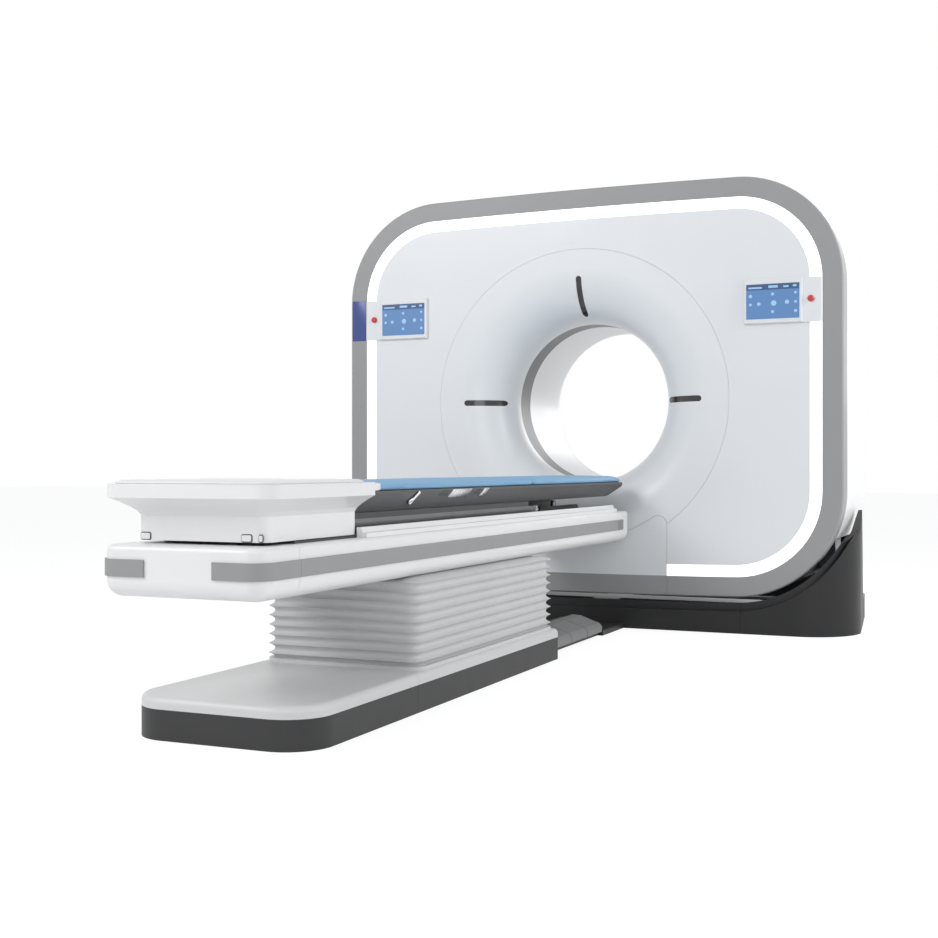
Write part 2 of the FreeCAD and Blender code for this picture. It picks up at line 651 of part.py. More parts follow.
def base_plan(inset, z0, z1):
    """The base's footprint: straight front, round shoulders, sides drawn in towards the back."""
    hw, back = BASE_HALF_W - inset, BASE_REAR_HALF_W - inset
    front, rear = BASE_FRONT_Y + inset, BASE_REAR_Y - inset
    r = BASE_CORNER_R - inset
    edges = [Part.LineSegment(V(-hw + r, front, z0), V(hw - r, front, z0)),
             Part.LineSegment(V(-back, rear, z0), V(back, rear, z0))]
    for s in (1, -1):
        knee = V(s * (hw - r + r * math.sqrt(0.5)), front + r - r * math.sqrt(0.5), z0)
        edges.append(Part.Arc(V(s * (hw - r), front, z0), knee, V(s * hw, front + r, z0)))
        edges.append(Part.LineSegment(V(s * hw, front + r, z0), V(s * back, rear, z0)))
    return face_of(edges).extrude(V(0, 0, z1 - z0))


def base_covers():
    """The front wall cradles the bezel in two steps, and each side rises to a horn at the flank."""
    tall = HORN_TIP[1] + 100
    side_y = BASE_FRONT_Y + BASE_CORNER_R
    inner_x = BASE_HALF_W - BASE_WALL
    rim = [(BASE_FRONT_Y, 0), (BASE_REAR_Y, 0), (BASE_REAR_Y, LOW_WALL_Z), (HORN_BACK[0] + 10, LOW_WALL_Z),
           HORN_BACK, (HORN_TIP[0] + 30, HORN_TIP[1] - 40), HORN_TIP, (BASE_FRONT_Y, HORN_FOOT_Z)]
    ahead = block((-inner_x - 100, inner_x + 100), (-1000, side_y), (-1, tall + 1))
    behind = block((-inner_x, inner_x), (side_y - 1, BASE_REAR_Y + 1), (-1, tall + 1))
    wall = base_plan(0, 0, tall).common(side_profile(rim, -BASE_HALF_W, BASE_HALF_W))
    wall = wall.cut(base_plan(BASE_WALL, -1, tall + 1).common(ahead)).cut(behind)
    wall = wall.cut(front_slab(LIP_DROP, -1000, side_y, LIP_SIDE))
    wall = wall.cut(front_slab(FACE_DROP, -1000, side_y, FACE_SIDE).cut(base_plan(LIP_STEP, -1, tall + 1)))
    skirt = base_plan(0, 0, LOW_WALL_Z).cut(base_plan(BASE_SKIN, -1, LOW_WALL_Z + 1))
    skirt = skirt.common(block((-2 * inner_x, 2 * inner_x), (side_y, 2 * BASE_REAR_Y), (0, LOW_WALL_Z)))
    whole = fused([wall, skirt])
    half_seam = SEAM / 2
    middle = block((-BASE_SPLIT_X, BASE_SPLIT_X), (2 * BASE_FRONT_Y, 0), (0, tall))
    right = whole.common(block((half_seam, 2 * inner_x), (2 * BASE_FRONT_Y, 2 * BASE_REAR_Y), (0, tall)))
    right = right.cut(middle)
    left_out = BASE_SPLIT_X - SEAM
    centre = whole.common(block((-left_out, left_out), (2 * BASE_FRONT_Y, 0), (0, tall)))
    return {"gantry_base_centre_cover": centre, "gantry_base_side_covers": pair(right)}


def floor_frame():
    """Bars laid on a floor plate, leaving four open trays, with holes for four floor anchors."""
    front = BASE_FRONT_Y + BASE_WALL
    rear = BASE_REAR_Y - BASE_SKIN
    w, c, bar = FLOOR_FRAME_HALF_W, FLOOR_FRAME_CHAMFER, FLOOR_BAR_W
    plan = [V(-w + c, front, 0), V(w - c, front, 0), V(w, front + c, 0), V(w, rear, 0), V(-w, rear, 0),
            V(-w, front + c, 0)]
    outline = Part.Face(Part.makePolygon(plan + plan[:1])).extrude(V(0, 0, FLOOR_FRAME_H))
    for x in (-GANTRY_ANCHOR_X, GANTRY_ANCHOR_X):
        for y in GANTRY_ANCHOR_Y:
            outline = outline.cut(rod(GANTRY_ANCHOR_R, V(x, y, -1), V(0, 0, 1), FLOOR_FRAME_H + 2))
    wide = (-w, w)
    raised = (FLOOR_PLATE_T, FLOOR_FRAME_H)
    long_bars = ((front, front + bar), STAND_Y, (rear - bar / 2, rear))
    short_bars = ((-w, -w + bar), (-bar / 2, bar / 2), (w - bar, w))
    between = ((front + bar, STAND_Y[0]), (STAND_Y[1], rear - bar / 2))
    spans = [(wide, (front, rear), (0, FLOOR_PLATE_T))]
    spans += [(wide, y, raised) for y in long_bars]
    spans += [(x, y, raised) for x in short_bars for y in between]
    return Part.makeCompound([outline.common(block(*span)) for span in spans])


def tilt_stands():
    """A leaning cheek on each side, bored for the trunnion pin."""
    x0, x1 = STAND_X
    boss = rod(STAND_BOSS_R, V(x0, 0, ISO_Z), V(1, 0, 0), x1 - x0)
    reach = STAND_BOSS_R * 0.9
    foot_z = FLOOR_FRAME_H
    cheek = side_profile([(STAND_Y[0], foot_z), (STAND_Y[1], foot_z), (STAND_Y[1], STAND_KNEE_Z),
                          (reach, ISO_Z + STAND_BOSS_R * 0.4), (-reach, ISO_Z - STAND_BOSS_R * 0.4),
                          (STAND_Y[0], STAND_KNEE_Z)], x0, x1)
    bore = rod(PIVOT_R + PIVOT_GAP, V(x0 - 1, 0, ISO_Z), V(1, 0, 0), x1 - x0 + 2)
    stand = fused([cheek, boss]).cut(bore)
    window = side_profile([(STAND_Y[0] + 40, 380), (STAND_Y[1] - 60, 380), (95, 760), (60, 760)], x0 - 1, x1 + 1)
    return pair(stand.cut(window))


def tilt_gear_motor():
    x0 = STAND_X[1]
    case = rod(GEAR_R, V(x0, 0, ISO_Z), V(1, 0, 0), GEAR_OUT_X - x0)
    case = case.cut(rod(PIVOT_R + 1, V(x0 - 1, 0, ISO_Z), V(1, 0, 0), PIN_PROUD + 3))
    middle = (x0 + GEAR_OUT_X) / 2
    drop = V(0, 0.25, -0.97).normalize()
    start = V(middle, 0, ISO_Z) + drop * (GEAR_R * 0.8)
    motor = rod(TILT_MOTOR_R, start, drop, TILT_MOTOR_LEN)
    return mirrored(fused([case, motor]))


# ---------------------------------------------------------------------------
# table base
# ---------------------------------------------------------------------------

def table_plan(inset, y, z):
    """The table base's footprint between two Y values, rounded at the foot end."""
    x = (-T_HALF_W + inset, T_HALF_W - inset)
    whole = plan_slab(x, (T_FOOT_Y + inset, T_HEAD_Y - inset), z, T_CORNER_R - inset, T_HEAD_R - inset)
    return whole.common(block((-T_HALF_W, T_HALF_W), y, z))


def table_base():
    full = (T_FOOT_Y - 1, T_HEAD_Y + 1)
    foot = (T_FOOT_Y - 1, T_SPLIT_Y)
    head = (T_SPLIT_Y + SEAM, T_HEAD_Y + 1)
    skirt = table_plan(0, full, (0, PLINTH_H)).cut(table_plan(PLINTH_T, full, (-1, PLINTH_H + 1)))
    skirts = [skirt.common(block((-T_HALF_W, T_HALF_W), y, (0, PLINTH_H))) for y in (foot, head)]

    z = (PLINTH_H, T_COVER_Z)
    crown = rounded(table_plan(0, full, z), T_COVER_EDGE_R, lambda b: b.ZMin > T_COVER_Z - 0.01)
    crown = crown.cut(table_plan(PLINTH_T, full, (PLINTH_H - 1, T_COVER_Z - PLINTH_T)))
    hw = BELLOWS_HALF_W + COLLAR_PROUD
    y = (BELLOWS_Y[0] - COLLAR_PROUD, BELLOWS_Y[1] + COLLAR_PROUD)
    r = BELLOWS_R + COLLAR_PROUD
    collar = plan_slab((-hw, hw), y, (T_COVER_Z - PLINTH_T, COLLAR_Z), r, r)
    well = block((-WELL_HALF_W, WELL_HALF_W), WELL_Y, (0, COLLAR_Z + 1))
    head_cover = crown.common(block((-T_HALF_W, T_HALF_W), head, (0, 200)))
    frame_w = T_HALF_W - PLINTH_T
    frame = block((-frame_w, frame_w), TABLE_FRAME_Y, (0, TABLE_FRAME_H))
    for x in (-TABLE_ANCHOR_X, TABLE_ANCHOR_X):
        for at in TABLE_ANCHOR_Y:
            frame = frame.cut(rod(TABLE_ANCHOR_R, V(x, at, -1), V(0, 0, 1), TABLE_FRAME_H + 2))
    return {
        "plinth_skirts": Part.makeCompound(skirts),
        "base_cover_foot": crown.common(block((-T_HALF_W, T_HALF_W), foot, (0, 200))),
        "base_cover_head": fused([head_cover, collar]).cut(well),
        "table_base_frame": frame,
    }


def bellows_body(levels):
    """A ruled body through rounded outlines, each at a height and drawn in by a step."""
    wires = []
    for z, d in levels:
        y = (BELLOWS_Y[0] + d, BELLOWS_Y[1] - d)
        r = max(BELLOWS_R - d, BELLOWS_LEAST_R)
        wires.append(plan_wire(BELLOWS_HALF_W - d, y, z, r, r))
    return Part.makeLoft(wires, True, True)


def lift_bellows():
    """Ridges and valleys outside, and a plain bore inside that follows the valleys."""
    z0, z1 = COLLAR_Z, BEAM_Z[0]
    pitch = (z1 - z0) / BELLOWS_FOLDS
    levels = [(z0 + i * pitch / 2, FOLD_DEPTH * ((i + 1) % 2)) for i in range(2 * BELLOWS_FOLDS)]
    folds = bellows_body(levels + [(z1, BELLOWS_TOP_INSET)])
    inner = FOLD_DEPTH + BELLOWS_T
    bore = bellows_body([(z0, inner), (z1 - pitch / 2, inner), (z1, BELLOWS_TOP_INSET + BELLOWS_T)])
    return folds.cut(bore)


def square_tubes(width, z):
    """One square tube round each column's axis."""
    h = width / 2
    tubes = []
    for at in COLUMN_Y:
        outer = block((-h, h), (at - h, at + h), z)
        k = h - COLUMN_T
        tubes.append(outer.cut(block((-k, k), (at - k, at + k), (z[0] - 1, z[1] + 1))))
    return Part.makeCompound(tubes)


def lifting_columns():
    step = 2 * (COLUMN_T + SLIDE_GAP)
    return {
        "lift_columns_outer": square_tubes(COLUMN_W, (TABLE_FRAME_H, COLUMN_OUTER_TOP)),
        "lift_columns_middle": square_tubes(COLUMN_W - step, COLUMN_MIDDLE_Z),
        "lift_columns_inner": square_tubes(COLUMN_W - 2 * step, (COLUMN_INNER_LOW, SPINE_Z[1])),
        "lift_bellows": lift_bellows(),
    }


# ---------------------------------------------------------------------------
# lifting beam and pallet
# ---------------------------------------------------------------------------

def beam_envelope(inset, edge=rounded, share=1.0):
    """The beam's outer body moved in by inset, with its lower and upper edges rounded or bevelled."""
    w = BEAM_HALF_W - inset
    y = (BEAM_Y[0] + inset, BEAM_Y[1] - inset)
    z = (BEAM_Z[0] + inset, BEAM_Z[1] - inset)
    body = plan_slab((-w, w), y, z, BEAM_PLAN_R - inset)
    body = edge(body, share * (BEAM_FLOOR_R - inset), lambda b: b.ZMax < z[0] + 0.01 and b.YMin < y[1] - 1)
    return edge(body, share * (BEAM_SHOULDER_R - inset), lambda b: b.ZMin > z[1] - 0.01 and b.YMin < y[1] - 1)


def beam():
    # a bevel of this share touches the round edge that it stands in for at its middle
    tangent_bevel = 2 - math.sqrt(2)
    shell = beam_envelope(0).cut(beam_envelope(BEAM_SKIN, bevelled, tangent_bevel))
    wide = (-2 * BEAM_HALF_W, 2 * BEAM_HALF_W)
    tall = (0, 2 * BEAM_Z[1])
    well = block((-BEAM_WELL_HALF_W, BEAM_WELL_HALF_W), WELL_Y, (BEAM_Z[0] - 1, BEAM_Z[0] + BEAM_SKIN + 1))
    side = shell.cut(well).common(block((SEAM / 2, wide[1]), (FOOT_SEAM_Y + SEAM, TIP_SEAM_Y - SEAM), tall))
    x0, x1, x2, x3 = LEDGE_X
    ledge = upright_profile([(x0, BEAM_Z[1]), (x3, BEAM_Z[1]), (x3 - 3, LEDGE_Z[0]), (x2 - 8, LEDGE_Z[0] + 2),
                             (x1, LEDGE_Z[1]), (x0, LEDGE_Z[1])], *LEDGE_Y)
    ledge = ledge.common(beam_envelope(0).fuse(block((x0, x3 - 6), LEDGE_Y, tall)))
    stripe = beam_envelope(-STRIPE_T).cut(beam_envelope(0))
    stripe = stripe.common(block(wide, (BEAM_Y[0] - 10, TIP_SEAM_Y), STRIPE_Z))
    corner_gap = block((-CORNER_STRIPE_X, CORNER_STRIPE_X), (BEAM_Y[0] - 10, BEAM_Y[1] + 10), tall)
    seam_gap = block(wide, (FOOT_SEAM_Y, FOOT_SEAM_Y + SEAM), tall)

    rail_in = SPINE_HALF_W - SPINE_RAIL_W
    rail = block((rail_in, SPINE_HALF_W), SPINE_Y, SPINE_Z)
    top = block((-SPINE_HALF_W, SPINE_HALF_W), SPINE_Y, (SPINE_Z[1], BEAM_Z[1] - BEAM_SKIN))
    deck = block((-LEDGE_X[0], LEDGE_X[0]), DECK_Y, (BEAM_Z[1], DECK_Z))
    run = block(RAIL_X, RAIL_Y, (DECK_Z, RAIL_Z))
    groove = block((RAIL_X[1] - 10, RAIL_X[1] + 1), (RAIL_Y[0] - 1, RAIL_Y[1] + 1), (DECK_Z + 14, DECK_Z + 30))
    return {
        "beam_foot_cover": shell.common(block(wide, (BEAM_Y[0] - 1, FOOT_SEAM_Y), tall)),
        "beam_side_covers": pair(fused([side, ledge])),
        "beam_tip_cover": shell.common(block(wide, (TIP_SEAM_Y, BEAM_Y[1] + 1), tall)),
        "bumper_strips": stripe.cut(corner_gap).cut(seam_gap),
        "beam_frame": Part.makeCompound([rail, mirrored(rail), top]),
        "beam_deck": fused([deck] + roller_brackets()),
        "guide_rails": pair(run.cut(groove)),
    }


def roller_axis_z():
    return PALLET_Z[0] - RUN_GAP - ROLLER_R


def roller_brackets():
    """Two cheeks with long feet carry the pallet's support roller."""
    z = roller_axis_z()
    inner = ROLLER_HALF_L + 2
    head = side_profile([(ROLLER_Y - 30, DECK_Z), (ROLLER_Y + 30, DECK_Z), (ROLLER_Y + 14, z + 13),
                         (ROLLER_Y - 14, z + 13)], inner, inner + 8)
    y0, y1 = CHEEK_LOW_Y
    foot = side_profile([(y0, DECK_Z), (y1, DECK_Z), (y1 - CHEEK_TAPER, DECK_Z + CHEEK_H),
                         (y0 + CHEEK_TAPER, DECK_Z + CHEEK_H)], inner, inner + 8)
    plate = fused([head, foot])
    plate = plate.cut(rod(JOURNAL_R + PIVOT_GAP, V(inner - 1, ROLLER_Y, z), V(1, 0, 0), 10))
    return [plate, mirrored(plate)]


def support_roller():
    z = roller_axis_z()
    body = rod(ROLLER_R, V(-ROLLER_HALF_L, ROLLER_Y, z), V(1, 0, 0), 2 * ROLLER_HALF_L)
    shaft = rod(JOURNAL_R, V(-ROLLER_HALF_L - 10, ROLLER_Y, z), V(1, 0, 0), 2 * ROLLER_HALF_L + 20)
    return fused([body, shaft])


def pallet_shell():
    """A stiff tray with sloping sides under an upright rim; its underside lifts towards the tip."""
    low, top = PALLET_Z
    y0, y1 = PALLET_Y
    w, w_low = PALLET_HALF_W, PALLET_LOW_HALF_W
    rim = top - PALLET_RIM_H
    tray = upright_profile([(-w_low, low), (w_low, low), (w, rim), (w, top), (-w, top), (-w, rim)], y0, y1)
    tray = rounded(tray, PALLET_EDGE_R, lambda b: b.YLength > 1 and b.ZMax < low + 0.01)
    tray = tray.common(plan_slab((-w, w), PALLET_Y, PALLET_Z, 0, PALLET_TIP_R))
    nose = side_profile([(y1 - TIP_LENGTH, low - 1), (y1 + 1, low - 1), (y1 + 1, low + TIP_RISE),
                         (y1 - TIP_LENGTH, low)], -2 * PALLET_HALF_W, 2 * PALLET_HALF_W)
    return tray.cut(nose)


def cushion(y, height, r_low, r_high):
    """A pad with a crowned top, its sides drawn in between the corners and rolled at both edges."""
    z0 = PALLET_Z[1]
    wires = []
    for share, inset in ((0.0, 5.0), (0.4, 0.0), (0.75, 1.5), (1.0, 8.0)):
        span = (y[0] + inset, y[1] - inset)
        wires.append(plan_wire(PAD_HALF_W - inset, span, z0 + share * height, r_low - inset, r_high - inset, PAD_DRAW))
    pad = Part.makeLoft(wires, True, True)
    crown_r = PAD_HALF_W ** 2 / (2 * PAD_CROWN)
    dome = rod(crown_r, V(0, y[0] - 10, z0 + height - crown_r), V(0, 1, 0), y[1] - y[0] + 20)
    return pad.common(dome)


def foot_box_body(inset, overrun):
    """The foot-end console: an upright body, a concave flare and a wide flat rim."""
    wires = []
    steps = 4
    head = BOX_HEAD_Y + overrun
    levels = [(FOOT_BOX_LOW_Z - overrun, 0.0)]
    levels += [(FLARE_Z + (RIM_Z[0] - FLARE_Z) * i / steps, (i / steps) ** 1.5) for i in range(steps + 1)]
    levels.append((RIM_Z[1] - inset, 1.0))
    for z, t in levels:
        hw = BOX_HALF_W + t * (RIM_HALF_W - BOX_HALF_W) - inset
        foot = BOX_FOOT_Y + t * (RIM_FOOT_Y - BOX_FOOT_Y) + inset
        r = BOX_CORNER_R + t * (RIM_CORNER_R - BOX_CORNER_R) - inset
        wires.append(plan_wire(hw, (foot, head), z, r, 0.5))
    return Part.makeLoft(wires, True, True)


def pallet_pieces():
    shell = pallet_shell()
    split = PAD_SPLIT_Y
    rail_out = RAIL_X[1] + 4
    rail_in = RAIL_X[0] - 4
    shoe = block((rail_in, rail_out), CARRIAGE_Y, (RAIL_Z + RUN_GAP, PALLET_Z[0]))
    web = block((-rail_in - 1, rail_in + 1), CARRIAGE_Y, (RAIL_Z + 6, PALLET_Z[0]))
    inside = BOX_HALF_W - BOX_WALL
    console_plate = block((-inside, inside), CONSOLE_PLATE_Y, CONSOLE_PLATE_Z)
    return {
        "pallet_shell": shell,
        "pallet_pad": cushion((PALLET_Y[0] + 1, split - SEAM), PAD_H, PAD_R / 2, PAD_R / 2),
        "head_pad": cushion((split, PALLET_Y[1] - 2), HEAD_PAD_H, PAD_R / 2, PALLET_TIP_R),
        "foot_box": foot_box_body(0, 0).cut(foot_box_body(BOX_WALL, 1)),
        "pallet_carriage": fused([shoe, mirrored(shoe), web, console_plate]),
    }


# ---------------------------------------------------------------------------
# floor bridge and foot pedals
# ---------------------------------------------------------------------------

def floor_bridge():
    """The cable bridge between table and gantry, with the pedals' hinge rod on its right side."""
    w = BRIDGE_HALF_W
    y = (T_HEAD_Y, BASE_FRONT_Y)
    plate = block((-w, w), y, (0, BRIDGE_T))
    first, last = PEDAL_Y[0], PEDAL_Y[-1]
    ends = (first - EAR_T - 2, last + EAR_T + 2)
    plate = plate.cut(block((BRIDGE_NOTCH_X, w + 1), ends, (-1, BRIDGE_T + 1)))
    rail = block((HINGE_X - 52, HINGE_X - 18), ends, (BRIDGE_T, HINGE_Z + 14))
    pieces = [plate, rail]
    for y0 in (ends[0], ends[1] - EAR_T):
        pieces.append(side_profile([(y0, BRIDGE_T), (y0 + EAR_T, BRIDGE_T), (y0 + EAR_T, HINGE_Z + 12),
                                    (y0, HINGE_Z + 12)], HINGE_X - 20, HINGE_X + 12))
    pieces.append(rod(HINGE_R, V(HINGE_X, ends[0], HINGE_Z), V(0, 1, 0), ends[1] - ends[0]))
    return fused(pieces)


def pedal(y0, y1):
    """A moulded tread that slopes out from its hinge barrel to a skirt at the floor side."""
    top0, top1 = PEDAL_TOP_Z
    barrel_r = HINGE_R + 7
    x_out = PEDAL_OUT_X
    t = PEDAL_T
    outline = [(HINGE_X - 4, HINGE_Z + 6), (HINGE_X + 4, top0), (HINGE_X + 40, top0 - 3), (x_out - 12, top1 + 4),
               (x_out, top1 - 8), (x_out, PEDAL_SKIRT_Z), (x_out - t, PEDAL_SKIRT_Z), (x_out - t, top1 - 8),
               (HINGE_X + 40, top0 - 3 - t), (HINGE_X + 14, HINGE_Z - 4)]
    tread = upright_profile(outline, y0, y1)
    barrel = rod(barrel_r, V(HINGE_X, y0, HINGE_Z), V(0, 1, 0), y1 - y0)
    bore = rod(HINGE_R + HINGE_GAP, V(HINGE_X, y0 - 1, HINGE_Z), V(0, 1, 0), y1 - y0 + 2)
    return fused([tread, barrel]).cut(bore)


def pedals():
    spans = [(a, b - PEDAL_GAP) for a, b in zip(PEDAL_Y[:-1], PEDAL_Y[1:])]
    return {"foot_pedal_" + str(i + 1): pedal(*span) for i, span in enumerate(spans)}


# ---------------------------------------------------------------------------
# all pieces
# ---------------------------------------------------------------------------

pieces = {}
pieces.update(front_covers())
pieces.update(body_covers())
pieces.update(operator_panels())
pieces["tilting_frame"] = tilting_frame()
pieces.update(stator_pieces())
pieces.update(rotor_pieces())
pieces.update(base_covers())
pieces["gantry_base_frame"] = floor_frame()
pieces["tilt_stands"] = tilt_stands()
pieces["tilt_gear_motor"] = tilt_gear_motor()
pieces.update(table_base())
pieces.update(lifting_columns())
pieces.update(beam())
pieces["support_roller"] = support_roller()
pieces.update(pallet_pieces())
pieces["floor_bridge"] = floor_bridge()
pieces.update(pedals())

os.makedirs("parts", exist_ok=True)
for node, shape in pieces.items():
    shape.exportStep("parts/" + node + ".step")
    print(node, len(shape.Solids), "solid(s),", round(shape.Volume / 1e6, 3), "litres, valid", shape.isValid())
print(len(pieces), "pieces")
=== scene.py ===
# %% [markdown]
# # A CT scanner and its patient table
#
# The construction model gives every rigid piece at its real size and place. This lesson dresses it: a
# camera that stands where the photographer stood, a finish for each surface, the soft pieces that a solid
# model can't show, and the light. All lengths are metres. +Y runs from the table into the gantry, and +Z
# is up.

# %% Load the construction model
import json
import math

import bmesh
import bpy
from mathutils import Matrix, Vector


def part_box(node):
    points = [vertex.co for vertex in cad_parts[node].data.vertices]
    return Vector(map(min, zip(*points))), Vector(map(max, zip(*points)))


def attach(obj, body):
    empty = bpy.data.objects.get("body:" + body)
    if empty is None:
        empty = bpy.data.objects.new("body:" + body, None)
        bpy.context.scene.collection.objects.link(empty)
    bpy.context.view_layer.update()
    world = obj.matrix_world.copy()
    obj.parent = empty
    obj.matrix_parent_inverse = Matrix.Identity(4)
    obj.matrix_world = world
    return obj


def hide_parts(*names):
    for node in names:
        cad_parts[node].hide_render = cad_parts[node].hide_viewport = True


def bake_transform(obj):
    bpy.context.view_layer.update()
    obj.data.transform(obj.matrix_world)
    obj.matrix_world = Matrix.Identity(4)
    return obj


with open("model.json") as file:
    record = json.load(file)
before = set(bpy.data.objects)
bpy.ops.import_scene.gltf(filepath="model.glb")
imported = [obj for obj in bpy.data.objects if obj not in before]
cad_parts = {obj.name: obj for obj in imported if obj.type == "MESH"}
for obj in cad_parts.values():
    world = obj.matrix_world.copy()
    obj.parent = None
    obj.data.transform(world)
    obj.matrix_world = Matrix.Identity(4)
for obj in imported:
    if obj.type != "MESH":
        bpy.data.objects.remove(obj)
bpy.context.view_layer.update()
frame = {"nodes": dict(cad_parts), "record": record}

nodes = frame["nodes"]

# %% [markdown]
# ## The camera
#
# The camera comes first, because every later choice is judged through it. It stands level, 0.7 m above the
# floor and off to the right of the table, and looks left of the bore axis. The lens is worked out from a
# focal length in pixels. The horizon sits slightly above the middle of the picture, which is a small lens
# shift and not a tilt, so upright edges stay upright.

# %% Place the camera
PHOTO_SIDE = 938
FOCAL_PIXELS = 1324.8
HORIZON_ROW = 465.8
EYE = (1.939, -5.867, 0.7054)
TURN_LEFT = math.radians(23.85)
SENSOR = 36.0

lens = bpy.data.cameras.new("studio_camera")
lens.sensor_width = SENSOR
lens.lens = FOCAL_PIXELS / PHOTO_SIDE * SENSOR
lens.shift_y = (HORIZON_ROW - PHOTO_SIDE / 2) / PHOTO_SIDE
camera = bpy.data.objects.new("studio_camera", lens)
camera.location = EYE
camera.rotation_euler = (math.radians(90), 0, TURN_LEFT)
bpy.context.scene.collection.objects.link(camera)
bpy.context.scene.camera = camera
bpy.context.scene.view_settings.view_transform = "Standard"
print("lens", round(lens.lens, 2), "mm")

# %% [markdown]
# ## How a finish is built
#
# Moulded plastic looks real because it is never perfectly even. Each finish starts from one shader. A
# broad, weak noise varies the tone by a few percent, a second noise varies the gloss as handling does, and
# a fine noise gives the grain of the mould. All three read Object coordinates, so their scale is in real
# metres. Whatever is the same all over a surface is set on the shader's own socket.

# %% Helpers for finishes
def new_finish(name, colour, gloss_rough, metal=0.0):
    """A material with its shader set up; returns the material and its shader."""
    finish = bpy.data.materials.new(name)
    finish.use_nodes = True
    shader = finish.node_tree.nodes["Principled BSDF"]
    shader.inputs["Base Color"].default_value = (*colour, 1)
    shader.inputs["Roughness"].default_value = gloss_rough
    shader.inputs["Metallic"].default_value = metal
    return finish, shader


def noise_of(finish, size, detail=2.0, stretch=(1, 1, 1)):
    """A noise whose blotches are about size metres across."""
    tree = finish.node_tree
    place = tree.nodes.new("ShaderNodeTexCoord")
    scaled = tree.nodes.new("ShaderNodeMapping")
    scaled.inputs["Scale"].default_value = [s / size for s in stretch]
    noise = tree.nodes.new("ShaderNodeTexNoise")
    noise.inputs["Scale"].default_value = 1.0
    noise.inputs["Detail"].default_value = detail
    tree.links.new(place.outputs["Object"], scaled.inputs["Vector"])
    tree.links.new(scaled.outputs["Vector"], noise.inputs["Vector"])
    return noise.outputs["Fac"]


def vary_tone(finish, shader, colour, spread, size):
    """The colour drifts by spread either way over blotches of that size."""
    tree = finish.node_tree
    ramp = tree.nodes.new("ShaderNodeValToRGB")
    ramp.color_ramp.elements[0].position = 0.3
    ramp.color_ramp.elements[1].position = 0.7
    ramp.color_ramp.elements[0].color = [c * (1 - spread) for c in colour] + [1]
    ramp.color_ramp.elements[1].color = [min(c * (1 + spread), 1) for c in colour] + [1]
    tree.links.new(noise_of(finish, size), ramp.inputs["Fac"])
    tree.links.new(ramp.outputs["Color"], shader.inputs["Base Color"])


def vary_gloss(finish, shader, smooth, rough, size):
    """The roughness drifts between two values over blotches of that size."""
    tree = finish.node_tree
    spread = tree.nodes.new("ShaderNodeMapRange")
    spread.inputs["To Min"].default_value = smooth
    spread.inputs["To Max"].default_value = rough
    tree.links.new(noise_of(finish, size, 4.0), spread.inputs["Value"])
    tree.links.new(spread.outputs["Result"], shader.inputs["Roughness"])


def add_grain(finish, shader, size, depth, stretch=(1, 1, 1)):
    """A fine relief, depth metres deep."""
    tree = finish.node_tree
    bump = tree.nodes.new("ShaderNodeBump")
    bump.inputs["Strength"].default_value = 0.6
    bump.inputs["Distance"].default_value = depth
    tree.links.new(noise_of(finish, size, 3.0, stretch), bump.inputs["Height"])
    tree.links.new(bump.outputs["Normal"], shader.inputs["Normal"])


# %% [markdown]
# ## The finishes
#
# Covers are sprayed or moulded plastic with a soft sheen. The same three helpers make all of them; what
# differs is the colour, how wide the highlight spreads and how coarse the grain is. Metal parts get a
# stretched grain, which is what machining and grinding leave behind.

# %% Plastic, metal, lit screens and painted glow
GRAIN = 0.0012
GRAIN_DEPTH = 0.00003
BLOTCH = 0.45
COAT_ROUGH = 0.12


def moulded(name, colour, rough, spread=0.012, depth=GRAIN_DEPTH, coat=0.0, shine=0.5):
    """Plastic, paint, rubber or coated cloth, with a clear coat if asked for."""
    finish, shader = new_finish(name, colour, rough)
    shader.inputs["Specular IOR Level"].default_value = shine
    shader.inputs["Coat Weight"].default_value = coat
    shader.inputs["Coat Roughness"].default_value = COAT_ROUGH
    vary_tone(finish, shader, colour, spread, BLOTCH)
    vary_gloss(finish, shader, rough - 0.05, rough + 0.05, size=0.08)
    add_grain(finish, shader, GRAIN, depth)
    return finish


def worked_metal(name, colour, rough, along):
    """Metal with a grain stretched along one axis: 0 is X and 1 is Y."""
    finish, shader = new_finish(name, colour, rough, metal=1.0)
    stretch = [0.03 if axis == along else 1.0 for axis in range(3)]
    vary_tone(finish, shader, colour, spread=0.04, size=0.1)
    vary_gloss(finish, shader, rough - 0.08, rough + 0.08, size=0.02)
    add_grain(finish, shader, size=0.0015, depth=0.00005, stretch=stretch)
    return finish


def glowing(name, colour, strength):
    """A surface that gives off light, slightly uneven as frosted plastic is. Screens are lit from behind; on
    the white band the glow is painted light.
    """
    finish, shader = new_finish(name, colour, 0.35)
    shader.inputs["Emission Color"].default_value = (*colour, 1)
    shader.inputs["Emission Strength"].default_value = strength
    vary_gloss(finish, shader, smooth=0.3, rough=0.4, size=0.05)
    add_grain(finish, shader, size=0.002, depth=0.00002)
    return finish


